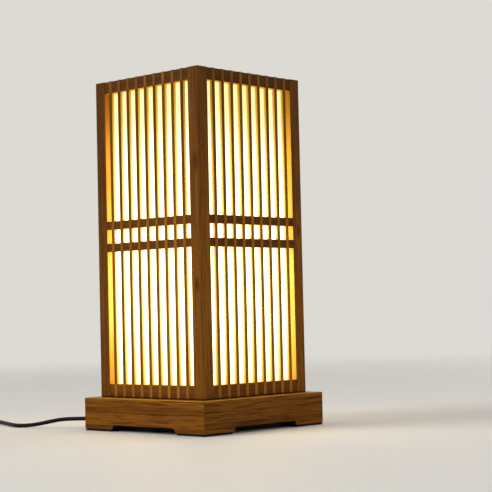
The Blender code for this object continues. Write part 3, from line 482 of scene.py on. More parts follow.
def opal():
    """The bulb's lit glass, brightest on top and warmer round its widest part."""
    widest, crown = (0.50, 0.28, 0.10), (1.0, 0.84, 0.52)
    _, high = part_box("bulb_globe")
    g = new_material("opal")
    place, (_, _, z) = g.place()
    cloud = g.noise(place, (40, 40, 40))
    glow = g.blend(widest, z, (high.z - high.x, high.z), crown)
    g.finish(Base_Color=g.mix(cloud, (0.40, 0.37, 0.30), (0.46, 0.43, 0.36)), Roughness=0.35,
             Emission_Color=glow, Emission_Strength=0.85)


def make_bamboo():
    # Faces along X take the front copies and faces along Y the side copies, which differ by painted light and
    # shade
    for across, other, side in (("X", "Y", "front_"), ("Y", "X", "side_")):
        upright, lying, flat = "Z" + across + other, across + "Z" + other, across + other + "Z"
        # The fade and the glow paint light and shade on the lantern's pieces
        bamboo("slat_" + across, upright, SLAT_PITCH, TONES[side + "slat"], contrast=0.7, streaks=0.2,
               fade=0.48, glow=0.28)
        bamboo("slat_crossing_" + across, upright, SLAT_PITCH, TONES["crossing"], contrast=0.55, fade=0.5)
        bamboo("rail_" + across, lying, RAIL_STRIP, TONES["rail"], contrast=0.7, streaks=0.3, fade=0.55)
        bamboo("board_" + across, lying, BOARD_STRIP, TONES[side + "base"], wobble=1.1, seam=0.04,
               contrast=1.3, streaks=0.9, run=2.2)
        # The ledge is painted glow and the rim a painted highlight
        bamboo("ledge_" + across, flat, BOARD_STRIP, TONES["ledge"], streaks=0.4)
        bamboo("rim_" + across, flat, BOARD_STRIP, TONES["rim"])
        # The cut-out's faces are painted shade
        bamboo("cutout_" + across, flat, BOARD_STRIP, TONES["painted_cutout_shade"])
    # The post's front and flank copies differ by painted light and shade, also in how strongly the fade
    # paints them
    for name, fade in (("post_front", 0.70), ("post_flank", 0.90)):
        bamboo(name, "ZXY", POST_STRIP, TONES[name], contrast=1.7, streaks=0.65, knots=POST_KNOTS, fade=fade,
               glow=0.25)
    bamboo("panel", "XYZ", PANEL_STRIP, TONES["front_base"], wobble=0.2, seam=0.04)
    bamboo("softwood", "XYZ", BLOCK_STRIP, TONES["softwood"])


def make_painted_glow_edges():
    # Painted glow on the sides of slats, rails and posts that look into the windows
    beside_bulb = (1.0, 1.0, 1.9)
    painted_glow_edge("slat_side_painted_glow", (0.58, 0.44, 0.025), (0.95, 0.92, 0.50), SLAT_DEPTH,
             ((0.95, 0.92, 0.78), beside_bulb, (0.98, 0.66, 0.22)))
    painted_glow_edge("rail_side_painted_glow", (0.70, 0.42, 0.040), (0.80, 0.55, 0.090), SLAT_DEPTH)
    post_near, post_far, post_depth = (0.82, 0.54, 0.075), (0.66, 0.38, 0.030), LANTERN_HALF - CLEAR_HALF
    painted_glow_edge("post_side_painted_glow", post_near, post_far, post_depth,
             ((0.94, 0.74, 0.78), beside_bulb, (0.53, 0.32, 0.15)), grain=1.0)
    painted_glow_edge("post_flank_side_painted_glow", post_near, post_far, post_depth,
             ((0.96, 0.92, 1.10), beside_bulb, (0.66, 0.53, 0.21)), grain=0.8)


def make_materials():
    make_bamboo()
    make_painted_glow_edges()
    diffuser()
    felt()
    opal()
    moulded("cord_black", (0.004, 0.004, 0.0045), 0.45, specular=0.08)
    moulded("hardboard", (0.010, 0.0085, 0.0075), 0.85, grain=1200.0)
    moulded("switch_black", (0.011, 0.011, 0.012), 0.40)
    moulded("strap_black", (0.014, 0.014, 0.015), 0.85, grain=1700.0)
    moulded("mark_white", (0.55, 0.55, 0.53), 0.5)
    moulded("bakelite", (0.013, 0.011, 0.010), 0.30)
    metal("steel", (0.46, 0.45, 0.43), 0.34)
    metal("brass", (0.62, 0.42, 0.15), 0.28)
    metal("nickel", (0.60, 0.58, 0.54), 0.26)


# Camera, floor and light


def rotation(degrees, axis):
    return Matrix.Rotation(math.radians(degrees), 4, axis)


def add_object(name, data):
    item = bpy.data.objects.new(name, data)
    bpy.context.scene.collection.objects.link(item)
    return item


def mesh_data(name, mesh):
    data = bpy.data.meshes.new(name)
    mesh.to_mesh(data)
    mesh.free()
    return data


def make_camera():
    data = bpy.data.cameras.new("camera")
    data.lens = CAMERA_LENS
    data.sensor_width = SENSOR_WIDTH
    data.clip_start = CLIP_START
    camera = add_object("camera", data)
    turn = rotation(CAMERA_YAW, "Z") @ rotation(90 + CAMERA_PITCH, "X") @ rotation(CAMERA_ROLL, "Z")
    camera.matrix_world = Matrix.Translation(CAMERA_PLACE) @ turn
    bpy.context.scene.camera = camera


def make_floor():
    """A round pale floor that fades into the pale surroundings far out."""
    mesh = bmesh.new()
    bmesh.ops.create_circle(mesh, cap_ends=True, radius=FLOOR_RADIUS, segments=FLOOR_SIDES)
    data = mesh_data("floor", mesh)
    g = new_material("floor")
    place, _ = g.place()
    g.mix_shaders(g.remap(g.length(place), *FLOOR_FADE, smooth=True), g.shader, g.node("BsdfTransparent"))
    g.finish(Base_Color=PALE_COLOUR, Roughness=0.6)
    data.materials.append(MATERIALS["floor"])
    floor = add_object("floor", data)
    floor.location.z = -FLOOR_DROP


def make_light():
    for name, (place, size, power) in LIGHTS.items():
        data = bpy.data.lights.new(name, "AREA")
        data.shape = "DISK"
        data.size = size
        data.energy = power
        light = add_object(name, data)
        light.location = place
        light.rotation_euler = (Vector(LIGHT_AIM) - Vector(place)).to_track_quat("-Z", "Y").to_euler()
    bpy.context.scene.view_settings.view_transform = "Standard"


def make_surroundings():
    """Soft light from all round that looks plain and pale where it is seen, also in a mirror."""
    world = bpy.data.worlds.new("studio")
    g = Graph(world, "Background", "World Output")
    g.finish(Color=STUDIO_COLOUR, Strength=STUDIO_STRENGTH)
    rays = g.node("LightPath").outputs
    seen = rays["Is Camera Ray"]
    for kind in ("Is Glossy Ray", "Is Transmission Ray"):
        seen = g.math("MAXIMUM", seen, rays[kind])
    g.mix_shaders(seen, g.shader, g.node("Background", PALE_COLOUR))
    bpy.context.scene.world = world


# Cord


def runs(points):
    """The distance run along a line of points, at each of them."""
    return np.concatenate([[0], np.cumsum(np.linalg.norm(np.diff(points, axis=0), axis=1))])


def smooth_curve(points):
    """Many points on a natural cubic spline through a route's points."""
    knots = np.array(points, float)
    chord = runs(knots)
    gaps = np.diff(chord)
    size = len(knots)
    system = np.eye(size)
    right = np.zeros((size, 3))
    for i in range(1, size - 1):
        system[i, i - 1 : i + 2] = gaps[i - 1], 2 * (gaps[i - 1] + gaps[i]), gaps[i]
    right[1:-1] = 6 * np.diff(np.diff(knots, axis=0) / gaps[:, None], axis=0)
    bend = np.linalg.solve(system, right)
    place = np.linspace(0, chord[-1], CURVE_POINTS)
    span = np.clip(np.searchsorted(chord, place, side="right") - 1, 0, size - 2)
    gap = gaps[span][:, None]
    before = (place - chord[span])[:, None]
    after = gap - before
    points = np.zeros((CURVE_POINTS, 3))
    for knot, reach in ((span, after), (span + 1, before)):
        points += bend[knot] * reach**3 / (6 * gap) + (knots[knot] / gap - bend[knot] * gap / 6) * reach
    points[:, 2] = np.maximum(points[:, 2], CORD_RADIUS)
    return points


def even_points(curve):
    """Points along a finely cut curve, about a cord's radius apart."""
    run = runs(curve)
    places = np.linspace(0, run[-1], int(round(run[-1] / CORD_RADIUS)) + 1)
    return np.stack([np.interp(places, run, curve[:, axis]) for axis in range(3)], axis=1)


def straight(point, direction, distance):
    return tuple(Vector(point) + Vector(direction).normalized() * distance)


def polar(reach, angle):
    return reach * math.cos(angle), reach * math.sin(angle)


def coil_curve():
    """Piled loops: the spiral runs in and out by turns, and climbs a layer where it reverses."""
    per_layer = COIL_TURNS / COIL_LAYERS
    outer = COIL_MEAN_RADIUS + COIL_SWING / 2
    steps = int(round(COIL_TURNS * LOOP_POINTS))
    points = []
    for i in range(steps + 1):
        turns = COIL_TURNS * i / steps
        layer = min(int(turns / per_layer), COIL_LAYERS - 1)
        share = turns / per_layer - layer
        radius = outer - COIL_SWING * (share if layer % 2 == 0 else 1 - share)
        height = COIL_FLOOR
        for reversal in range(1, COIL_LAYERS):
            height += COIL_STEP * smooth_step((turns - reversal * per_layer) / COIL_CLIMB + 0.5)
        x, y = polar(radius, math.radians(COIL_START) + 2 * math.pi * turns)
        points.append((COIL_PLACE[0] + x, COIL_PLACE[1] + y, height))
    points = np.array(points)
    first = straight(points[0], points[0] - points[1], 2 * CORD_RADIUS)
    last = straight(points[-1], points[-1] - points[-2], 2 * CORD_RADIUS)
    return np.array([first, *points, last])


def tube(name, points):
    curve = bpy.data.curves.new(name, "CURVE")
    curve.dimensions = "3D"
    curve.bevel_depth = CORD_RADIUS
    curve.bevel_resolution = TUBE_ROUNDNESS
    curve.use_fill_caps = True
    spline = curve.splines.new("POLY")
    spline.points.add(len(points) - 1)
    for point, place in zip(spline.points, points):
        point.co = (*place, 1.0)
    spline.use_smooth = True
    curve.materials.append(MATERIALS["cord_black"])
    return add_object(name, curve)


def lay_cord(name, curve, nodes):
    """A cord along a curve that stands for some nodes."""
    points = even_points(curve)
    item = tube(name, points)
    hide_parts(*nodes)
    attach(item, "lamp")


def make_cords():
    ahead = 2 * CORD_RADIUS
    gland = centre("cord_gland")[1:]
    start = (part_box("base_board_left")[0].x - GAP, *gland)
    mouth = (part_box("cord_gland")[0].x, *gland)
    case_low, case_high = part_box("switch_lower_shell")
    switch_x = centre("switch_lower_shell")[0]
    switch_in = (switch_x, case_high.y - SWITCH_ENTRY, SWITCH_AXIS)
    switch_out = (switch_x, case_low.y + SWITCH_ENTRY, SWITCH_AXIS)
    through = (0, -1, 0)
    route = [start, mouth, straight(mouth, (-1, 0, 0), ahead)] + SEEN_ROUTE
    route += [straight(switch_in, through, -ahead), switch_in]
    lay_cord("lead_to_switch_cord", smooth_curve(route), ["lead_to_switch"])
    coil = coil_curve()
    start_way, end_way = coil[1] - coil[0], coil[-1] - coil[-2]
    coil_in, coil_out = straight(coil[0], start_way, -GAP), straight(coil[-1], end_way, GAP)
    to_coil = [switch_out, straight(switch_out, through, ahead)]
    to_coil += [straight(coil_in, start_way, -ahead), coil_in]
    plug_in = (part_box("plug_body")[0].x - GAP, *centre("plug_body")[1:])
    halfway = tuple((Vector(coil_out) + Vector(plug_in)) / 2)
    to_plug = [coil_out, straight(coil_out, end_way, ahead), halfway]
    to_plug += [straight(plug_in, (1, 0, 0), -ahead), plug_in]
    whole = np.concatenate([smooth_curve(to_coil), coil, smooth_curve(to_plug)])
    lay_cord("supply_cord", whole, ["lead_to_coil", "cord_coil", "lead_to_plug"])


# Mesh tools


def ease(mesh, edges, offset, segments):
    bmesh.ops.bevel(mesh, geom=edges, offset=offset, segments=segments, affect="EDGES", profile=0.5)


def eased_bar(low, high, segments=2):
    """A bar from corner to corner, with every edge rounded."""
    low, high = Vector(low), Vector(high)
    mesh = bmesh.new()
    matrix = Matrix.Translation((low + high) / 2) @ Matrix.Diagonal((*(high - low), 1))
    bmesh.ops.create_cube(mesh, size=1, matrix=matrix)
    bmesh.ops.recalc_face_normals(mesh, faces=mesh.faces)
    ease(mesh, mesh.edges[:], BAR_EDGE, segments)
    return mesh


def cut(mesh, place, way):
    """Cut a mesh through at a place, square to a direction."""
    whole = mesh.verts[:] + mesh.edges[:] + mesh.faces[:]
    bmesh.ops.bisect_plane(mesh, geom=whole, plane_co=place, plane_no=way)


def paint(mesh, finishes, choose):
    """Give each face the finish that a rule chooses for it."""
    for face in mesh.faces:
        face.material_index = finishes.index(choose(face))


def add_piece(name, node, meshes, finishes, turn=0.0, body="lamp", sharp=None):
    """One piece of several meshes, turned about Z, that rides on a body and stands for a node.

    Its finishes fill its material slots, in order. It is shaded smooth up to a sharp angle.
    """
    whole = bmesh.new()
    for mesh in meshes:
        data = mesh_data("part", mesh)
        whole.from_mesh(data)
        bpy.data.meshes.remove(data)
    bmesh.ops.rotate(whole, verts=whole.verts, cent=(0, 0, 0), matrix=rotation(turn, "Z").to_3x3())
    data = mesh_data(name, whole)
    for finish in finishes:
        data.materials.append(MATERIALS[finish])
    if sharp:
        data.shade_smooth()
        data.set_sharp_from_angle(angle=math.radians(sharp))
    item = add_object(name, data)
    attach(item, body)
    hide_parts(node)


def loft(rings, matrix=Matrix(), closed=False):
    """Join rings of points by faces; a closed loft joins the last ring to the first."""
    mesh = bmesh.new()
    loops = [[mesh.verts.new(matrix @ Vector(point)) for point in ring] for ring in rings]
    pairs = list(zip(loops, loops[1:])) + ([(loops[-1], loops[0])] if closed else [])
    count = len(loops[0])
    for one, two in pairs:
        for i in range(count):
            j = (i + 1) % count
            mesh.faces.new((one[i], one[j], two[j], two[i]))
    if not closed:
        mesh.faces.new(loops[0])
        mesh.faces.new(loops[-1])
    bmesh.ops.recalc_face_normals(mesh, faces=mesh.faces)
    return mesh


def round_angles(count):
    return [2 * math.pi * i / count for i in range(count)]


def turned(profile, sides, matrix=Matrix(), wave=lambda radius, angle, height: radius, closed=True):
    """Turn (radius, height) points about Z; a wave may change the radius."""
    rings = []
    for radius, height in profile:
        rings.append([(*polar(wave(radius, angle, height), angle), height) for angle in round_angles(sides)])
    return loft(rings, matrix, closed)


# Lantern


def along_axis(face):
    """The axis that a face's rails and boards run along."""
    return "X" if face in ("front", "rear") else "Y"


def in_window(height):
    return any(low < height < high for low, high in WINDOWS)


def cut_at_windows(mesh):
    """Cut a mesh at the bottom and the top of each window."""
    for level in sum(WINDOWS, ()):
        cut(mesh, (0, 0, level), (0, 0, 1))


def rail_bar(low, high):
    return eased_bar((-CLEAR_HALF, RAIL_FRONT, low), (CLEAR_HALF, RAIL_BACK, high))


def make_lattice(face):
    """The slats and the two middle rails of a face."""
    slat, crossing, rail = (kind + along_axis(face) for kind in ("slat_", "slat_crossing_", "rail_"))
    finishes = [slat, "slat_side_painted_glow", rail, "rail_side_painted_glow", crossing]

    def slat_finish(side):
        # Where they cross the rails the slats are painted paler, as painted light; in the windows their sides
        # are painted with glow
        if not in_window(side.calc_center_median().z):
            return crossing
        return "slat_side_painted_glow" if abs(side.normal.x) > STRAIGHT else slat

    bars = []
    for i in range(SLAT_COUNT):
        x = (i - (SLAT_COUNT - 1) / 2) * SLAT_PITCH
        bar = eased_bar((x - SLAT_WIDTH / 2, -LANTERN_HALF, LANTERN_BOTTOM),
                        (x + SLAT_WIDTH / 2, SLAT_DEPTH - LANTERN_HALF, LANTERN_TOP))
        cut_at_windows(bar)
        paint(bar, finishes, slat_finish)
        bars.append(bar)
    for low in (MIDDLE_LOW, MIDDLE_HIGH):
        bar = rail_bar(low, low + MIDDLE_RAIL_HEIGHT)
        # The middle rails' top and bottom faces are painted with glow
        paint(bar, finishes, lambda side: "rail_side_painted_glow" if abs(side.normal.z) > STRAIGHT else rail)
        bars.append(bar)
    add_piece(face + "_slats", face + "_lattice", bars, finishes, FACES[face])


def make_end_rail(face, end):
    """The top or the bottom rail of a face, with painted glow on the side that looks into the window."""
    low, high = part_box("front_%s_rail" % end)
    inner_level = low.z if end == "top" else high.z
    finishes = ["rail_" + along_axis(face), "rail_side_painted_glow"]

    def rail_finish(side):
        at_window = abs(side.calc_center_median().z - inner_level) < BAR_EDGE
        return finishes[at_window and abs(side.normal.z) > STRAIGHT]

    # The slats' ends stand a little above the top rail
    bar = rail_bar(low.z, min(high.z, LANTERN_TOP - GAP))
    paint(bar, finishes, rail_finish)
    name = "%s_%s_rail" % (face, end)
    add_piece(name + "_bar", name, [bar], finishes, FACES[face])


def make_post(corner):
    """A post with painted glow on its inner sides, and with the flank finish, a copy painted with other light
    and shade, where it looks left or right.
    """
    turn = CORNERS[corner]
    flank_axis = 0 if turn % 180 == 0 else 1
    flank_part, inward_part = 0.7, 0.8
    inner = CLEAR_HALF - POST_SPILL

    def post_finish(side):
        middle = side.calc_center_median()
        # The lamp lights the inner sides in the windows, and at all heights behind the rails, and there they
        # are painted with glow
        lit = in_window(middle.z) or max(middle.x, -middle.y) < -RAIL_BACK
        inward = side.normal.x < -inward_part or side.normal.y > inward_part
        flank = abs(side.normal[flank_axis]) > flank_part
        if lit and inward:
            return "post_side_painted_glow" if flank else "post_flank_side_painted_glow"
        return "post_flank" if flank else "post_front"

    post = eased_bar((inner, -LANTERN_HALF, LANTERN_BOTTOM), (LANTERN_HALF, -inner, LANTERN_TOP), 3)
    cut_at_windows(post)
    cut(post, (-RAIL_BACK, 0, 0), (1, 0, 0))
    cut(post, (0, RAIL_BACK, 0), (0, 1, 0))
    finishes = ["post_front", "post_flank", "post_side_painted_glow", "post_flank_side_painted_glow"]
    paint(post, finishes, post_finish)
    add_piece(corner + "_post", "post_" + corner, [post], finishes, turn)


def make_lantern():
    for face in FACES:
        make_lattice(face)
        for end in ("top", "bottom"):
            make_end_rail(face, end)
    for corner in CORNERS:
        make_post(corner)


# Plinth


def board_outline():
    """A board's face as (along, up) points, with the cut-out's ends as smooth slopes."""
    low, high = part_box("base_board_front")
    slope = []
    for i in range(SLOPE_STEPS + 1):
        share = i / SLOPE_STEPS
        rise = CUTOUT_HEIGHT * (1 - smooth_step(share))
        slope.append((high.x - FOOT_LENGTH - FOOT_SLOPE * (1 - share), low.z + rise))
    right = slope + [(high.x, low.z), (high.x, high.z)]
    return right + [(-along, up) for along, up in reversed(right)]


def board_mesh():
    """A board with mitred ends and with its outer edges eased, apart from the mitres."""
    front, back = (corner.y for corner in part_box("base_board_front"))
    outline = board_outline()
    end = max(along for along, up in outline)
    inner_end = end + front - back
    mitred = {end: inner_end, -end: -inner_end}
    inner_ring = [(mitred.get(along, along), back, up) for along, up in outline]
    mesh = loft([[(along, front, up) for along, up in outline], inner_ring])
    rim = []
    for edge in mesh.edges:
        outer = all(vertex.co.y < (front + back) / 2 for vertex in edge.verts)
        if outer and abs(sum(vertex.co.x for vertex in edge.verts)) < 2 * end - GAP:
            rim.append(edge)
    ease(mesh, rim, BOARD_EDGE, 3)
    return mesh


def make_boards():
    foot_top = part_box("base_board_front")[0].z + CUTOUT_HEIGHT + GAP
    upward_part, level_part, sideways_part = 0.3, 0.98, 0.6
    for face, turn in FACES.items():
        finishes = [kind + along_axis(face) for kind in ("board_", "ledge_", "cutout_", "rim_")]
        board, ledge, cutout, rim = finishes

        def board_finish(side):
            # The ledge and its eased edge (rim) are painted lighter, as painted glow and a painted highlight
            if side.normal.z > upward_part and side.calc_center_median().z > LANTERN_BOTTOM / 2:
                return ledge if side.normal.z > level_part else rim
            # Low faces that do not look out front or back, in the cut-out, are painted shade
            low_down = all(vertex.co.z < foot_top for vertex in side.verts)
            return cutout if low_down and abs(side.normal.y) < sideways_part else board

        mesh = board_mesh()
        paint(mesh, finishes, board_finish)
        add_piece(face + "_board", "base_board_" + face, [mesh], finishes, turn)


# Holder and bulb


def make_holder():
    """A holder with a groove round its top, a ribbed grip, a flange and a web inside."""
    low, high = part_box("holder_body")
    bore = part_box("holder_shell")[1].x + GAP
    wall, groove, cup, hole, edge = 0.019, 0.0182, 0.015, 0.0023, 0.001
    flange, web, web_top = 0.003, 0.014, 0.017
    grip_top, grip_foot, ribs, rib_depth = 0.0105, 0.0340, 30, 0.0006
    below_top = [(bore, edge), (bore + edge / 2, 0), (wall - edge, 0), (wall, edge), (wall, 0.0060),
                 (groove, 0.0065), (groove, 0.0080), (wall, 0.0085), (wall, grip_top - rib_depth),
                 (wall, grip_top), (wall, grip_foot), (wall, grip_foot + rib_depth)]
    above_foot = [(wall, flange + edge), (wall + edge / 3, flange + edge / 3), (wall + edge, flange),
                  (high.x - edge, flange), (high.x, flange - edge), (high.x, 0), (cup, 0), (cup, web),
                  (hole, web), (hole, web_top), (bore, web_top)]
    profile = [(radius, high.z - drop) for radius, drop in below_top]
    profile += [(radius, low.z + rise) for radius, rise in above_foot]

    def ribbed(radius, angle, height):
        gripped = radius == wall and high.z - grip_foot <= height <= high.z - grip_top
        return radius - rib_depth * (0.5 - 0.5 * math.cos(ribs * angle)) if gripped else radius

    holder = turned(profile, 240, wave=ribbed)
    add_piece("holder_moulding", "holder_body", [holder], ["bakelite"], sharp=40)


def make_cap():
    """The bulb's cap, with a bead and a thread that runs out at both ends."""
    low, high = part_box("bulb_cap")
    radius = high.x
    first, last, rows = low.z + 0.0060, high.z - 0.0050, 56
    pitch, depth, run_out, edge = 0.00362, 0.0010, 0.0015, 0.0006
    profile = [(0.0050, low.z), (0.0085, low.z + 0.0020), (0.0118, low.z + 0.0046)]
    profile += [(radius, first + (last - first) * i / rows) for i in range(rows + 1)]
    profile += [(radius - 0.0004, last + edge), (radius, last + 2 * edge), (radius, high.z - edge),
                (radius - 0.0005, high.z), (radius - CAP_WALL, high.z)]

    def threaded(near, angle, height):
        fade = min(max(min(height - first, last - height) / run_out, 0.0), 1.0)
        turn = 2 * math.pi * (height - first) / pitch - angle
        return near - depth * fade * (0.5 - 0.5 * math.cos(turn))

    cap = turned(profile, BULB_SIDES, wave=threaded, closed=False)
    add_piece("bulb_screw_cap", "bulb_cap", [cap], ["nickel"], body="bulb", sharp=50)


def make_glass():
    """The bulb's globe, which swells out of the cap into a half sphere."""
    cap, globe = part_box("bulb_cap")[1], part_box("bulb_globe")[1]
    wide, middle = globe.x, globe.z - globe.x
    neck, neck_depth, swell, neck_steps, crown_steps, tip = cap.x - CAP_WALL, 0.004, 1.3, 24, 20, 0.0006
    profile = [(neck, cap.z - neck_depth), (neck, cap.z)]
    for i in range(1, neck_steps + 1):
        share = i / neck_steps
        radius = neck + (wide - neck) * math.sin(share * math.pi / 2) ** swell
        profile.append((radius, cap.z + (middle - cap.z) * share))
    for i in range(1, crown_steps):
        across, up = polar(wide, i / crown_steps * math.pi / 2)
        profile.append((across, middle + up))
    profile.append((tip, globe.z))
    glass = turned(profile, BULB_SIDES, closed=False)
    add_piece("bulb_glass", "bulb_globe", [glass], ["opal"], body="bulb", sharp=60)


# The pieces on the cord


def make_gland():
    """A strain relief with a flange and a ribbed tail; heights run outwards, along -X."""
    low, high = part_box("cord_gland")
    bore, wall, tip, flange = CORD_RADIUS + GAP, 0.0046, 0.0036, (high.z - low.z) / 2
    face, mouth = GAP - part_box("base_board_left")[0].x, -low.x
    rib_start, rib_pitch, rib_count, rib_depth = 0.0027, 0.0028, 6, 0.0007
    profile = [(bore, -high.x), (wall, -high.x), (wall, face), (flange, face), (flange, face + 0.0013),
               (flange - 0.0006, face + 0.0020), (wall, face + 0.0021)]
    for i in range(rib_count):
        foot = face + rib_start + rib_pitch * i
        near = wall + (tip - wall) * (foot - face) / (mouth - face)
        root = near - rib_depth
        profile += [(near, foot), (near, foot + 0.0016), (root, foot + 0.0018), (root, foot + 0.0026)]
    profile += [(tip, mouth - 0.0005), (tip - 0.0004, mouth), (bore, mouth)]
    outwards = Matrix.Translation((0, *centre("cord_gland")[1:])) @ rotation(-90, "Y")
    add_piece("strain_relief", "cord_gland", [turned(profile, 40, outwards)], ["switch_black"], sharp=40)


def switch_matrix():
    """The switch's middle on the floor, with its length along its own X."""
    x, y, _ = centre("switch_lower_shell")
    return Matrix.Translation((x, y, 0)) @ rotation(-90, "Z")


def make_switch_case():
    """Two shells with rounded edges; the upper one has a window for the rocker."""
    low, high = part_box("switch_lower_shell")
    split, top = (corner.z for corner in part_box("switch_upper_shell"))
    half_length, half_width = (high.y - low.y) / 2, (high.x - low.x) / 2
    window_length, window_width, squareness, tiny = 0.0090, 0.0048, 5, 1e-6
    corner = math.atan2(window_width, window_length)
    angles = sorted(round_angles(80) + [corner, math.pi - corner, math.pi + corner, 2 * math.pi - corner])

    def case(angle, inset):
        along, across = (abs(part) for part in polar(1, angle))
        parts = along / (half_length - inset), across / (half_width - inset)
        return sum(part**squareness for part in parts) ** (-1 / squareness)

    def window(angle, grow):
        along, across = (max(abs(part), tiny) for part in polar(1, angle))
        return min((window_length + grow) / along, (window_width + grow) / across)

    def ring(reach, offset, height):
        return [(*polar(reach(angle, offset), angle), height) for angle in angles]

    # Rounded edges: how far an outline is moved, at a distance from the shell's end
    foot_edge = ((0.0024, 0), (0.0010, 0.0003), (0.0003, 0.0010), (0, 0.0020))
    top_edge = ((0, 0.0034), (0.0003, 0.0017), (0.0009, 0.0007), (0.0018, 0.0002), (0.0030, 0))
    window_edge = ((0.0010, 0), (0.0003, 0.0004), (0, 0.0010), (0, 0.0045))
    lower = [ring(case, inset, low.z + rise) for inset, rise in foot_edge] + [ring(case, 0, high.z)]
    upper = [ring(case, 0, split)] + [ring(case, inset, top - drop) for inset, drop in top_edge]
    upper += [ring(window, grow, top - drop) for grow, drop in window_edge]
    for name, node, rings in (("low", "lower", lower), ("top", "upper", upper)):
        shell = loft(rings, switch_matrix())
        add_piece("switch_case_" + name, "switch_%s_shell" % node, [shell], ["switch_black"], sharp=45)


def rocker_top(x):
    """The height of the rocker's dished top at a distance from its middle."""
    return ROCKER_RISE + ROCKER_DISH * (x / ROCKER_HALF) ** 2


def switch_marks():
    """Plain on and off marks, a bar and a ring, that follow the dished top."""
    half, half_line, off_middle, sunk, proud = 0.0016, 0.0003, 0.0046, -0.0003, 0.00008
    corners = [(-half_line, sunk), (half_line, sunk), (half_line, proud), (-half_line, proud)]
    stations = [off_middle + half * (i / 4 - 1) for i in range(9)]
    bar = loft([[(x, y, z) for y, z in corners] for x in stations])
    hollow = half - 2 * half_line
    profile = [(hollow, sunk), (half, sunk), (half, proud), (hollow, proud)]
    ring = turned(profile, 40, Matrix.Translation((-off_middle, 0, 0)))
    for mark in (bar, ring):
        for vertex in mark.verts:
            vertex.co.z += rocker_top(vertex.co.x)
    return [bar, ring]


def make_switch_key():
    """The rocker with its marks, tilted to one side."""
    finishes = ["switch_black", "mark_white"]
    half_width, lean, keel, tilt, pivot_drop = 0.0045, 0.0003, 0.003, 8, 0.0038
    half_steps, rim_angle, rim_edge = 8, 0.6, 0.0004
    across = [ROCKER_HALF - i * ROCKER_HALF / half_steps for i in range(2 * half_steps + 1)]
    outline = [(x, rocker_top(x)) for x in across]
    outline += [(lean - ROCKER_HALF, 0), (0, -keel), (ROCKER_HALF - lean, 0)]
    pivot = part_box("switch_upper_shell")[1].z - pivot_drop
    tilted = switch_matrix() @ Matrix.Translation((0, 0, pivot)) @ rotation(tilt, "Y")
    rocker = loft([[(x, y, z) for x, z in outline] for y in (-half_width, half_width)], tilted)
    rim = [edge for edge in rocker.edges if edge.is_manifold and edge.calc_face_angle() > rim_angle]
    ease(rocker, rim, rim_edge, 3)
    marks = switch_marks()
    for mark in marks:
        bmesh.ops.transform(mark, matrix=tilted, verts=mark.verts)
        paint(mark, finishes, lambda side: "mark_white")
    add_piece("switch_key", "switch_rocker", [rocker] + marks, finishes, body="switch_rocker", sharp=40)


def make_plug_moulding():
    """A ribbed round tail that swells into a rounded oblong body with side grips."""
    low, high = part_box("plug_body")
    half_width, half_height, length = (high.y - low.y) / 2, (high.z - low.z) / 2, high.x - low.x
    tail, swell, edge, tip, neck, step = 0.024, 0.011, 0.0014, 0.0036, 0.0049, 0.0004
    rib_start, rib_end, rib_pitch, rib_length, rib_depth = 0.0025, tail - 0.001, 0.003, 0.002, 0.0007
    grooves, groove_depth, groove_width, squareness = (0.0365, 0.0395, 0.0425), 0.0008, 0.0007, 0.3
    rings = []
    steps = int(round(length / step))
    for i in range(steps + 1):
        along = length * i / steps
        across = up = tip + (neck - tip) * min(along / tail, 1)
        share = smooth_step((along - tail) / swell)
        across += (half_width - neck) * share
        up += (half_height - neck) * share
        if rib_start < along < rib_end and along % rib_pitch > rib_length:
            across, up = across - rib_depth, up - rib_depth
        for groove in grooves:
            across -= groove_depth * math.exp(-((along - groove) / groove_width) ** 2)
        round_off = max(along - length + edge, 0) / edge
        inset = edge * (1 - math.sqrt(1 - round_off * round_off))
        power = 1 - squareness * share
        ring = []
        for angle in round_angles(56):
            y, z = (math.copysign(abs(part) ** power, part) for part in polar(1, angle))
            ring.append((along, y * (across - inset), z * (up - inset)))
        rings.append(ring)
    body = loft(rings, Matrix.Translation((low.x, *centre("plug_body")[1:])))
    add_piece("plug_moulding", "plug_body", [body], ["switch_black"], sharp=40)


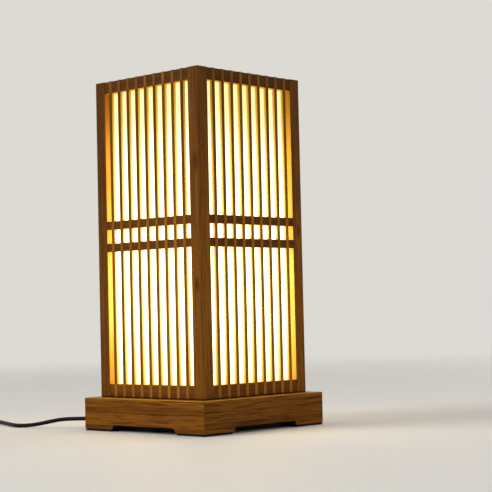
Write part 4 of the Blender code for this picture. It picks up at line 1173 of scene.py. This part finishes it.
def make_plug_pin(side):
    """A flat blade with cut corners and a round hole."""
    low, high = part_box("plug_blade_" + side)
    ahead, hole_radius, corner_cut, sides, tiny = 0.0048, 0.0016, 0.0016, 40, 1e-6
    hole_x, hole_z = high.x - ahead, (low.z + high.z) / 2
    half, behind = (high.z - low.z) / 2, hole_x - low.x
    corners = [(ahead, half), (-behind, half), (ahead, half - corner_cut), (ahead - corner_cut, half)]
    angles = [math.atan2(sign * up, along) for along, up in corners for sign in (-1, 1)]
    angles += [angle - math.pi for angle in round_angles(sides)]
    outer, inner = [], []
    for angle in sorted(angles):
        along, up = math.cos(angle), abs(math.sin(angle))
        reach = min(ahead / along if along > tiny else behind / max(-along, tiny), half / max(up, tiny))
        if along > 0:
            reach = min(reach, (ahead + half - corner_cut) / (along + up))
        for loop, distance in ((outer, reach), (inner, hole_radius)):
            x, z = polar(distance, angle)
            loop.append((hole_x + x, hole_z + z))
    loops = ((inner, low.y), (outer, low.y), (outer, high.y), (inner, high.y))
    blade = loft([[(x, y, z) for x, z in loop] for loop, y in loops], closed=True)
    add_piece("plug_pin_" + side, "plug_blade_" + side, [blade], ["brass"])


def make_tie():
    """A woven strap round all the coil's turns."""
    low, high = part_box("cord_tie")
    turn, wide, thick, corner, slack, edge, corner_steps = 20, 0.010, 0.001, 0.0024, 0.0008, 0.0003, 8
    half_across = COIL_SWING / 2 + CORD_RADIUS + slack
    half_up = (high.z - low.z) / 2 - thick
    x, y = polar(COIL_MEAN_RADIUS, math.radians(turn))
    place = Matrix.Translation((COIL_PLACE[0] + x, COIL_PLACE[1] + y, centre("cord_tie")[2]))

    def band(grow, along):
        ring = []
        for quarter, (side, up) in enumerate(((1, 1), (-1, 1), (-1, -1), (1, -1))):
            for i in range(corner_steps + 1):
                x, z = polar(corner + grow, (quarter + i / corner_steps) * math.pi / 2)
                ring.append((side * (half_across - corner) + x, along, up * (half_up - corner) + z))
        return ring

    rings = [band(0, -wide / 2), band(thick - edge, -wide / 2), band(thick, edge - wide / 2),
             band(thick, wide / 2 - edge), band(thick - edge, wide / 2), band(0, wide / 2)]
    strap = loft(rings, place @ rotation(turn, "Z"), closed=True)
    add_piece("coil_strap", "cord_tie", [strap], ["strap_black"], sharp=50)


# Nodes that keep their own shape


def dress_nodes():
    for name, node in NODES.items():
        for key, finish in NODE_FINISHES.items():
            if key in name:
                node.data.materials.clear()
                node.data.materials.append(MATERIALS[finish])


make_materials()
make_camera()
make_gland()
make_switch_case()
make_switch_key()
make_plug_moulding()
make_plug_pin("near")
make_plug_pin("far")
make_tie()
make_cords()
make_lantern()
make_boards()
make_holder()
make_cap()
make_glass()
dress_nodes()
make_floor()
make_light()
make_surroundings()
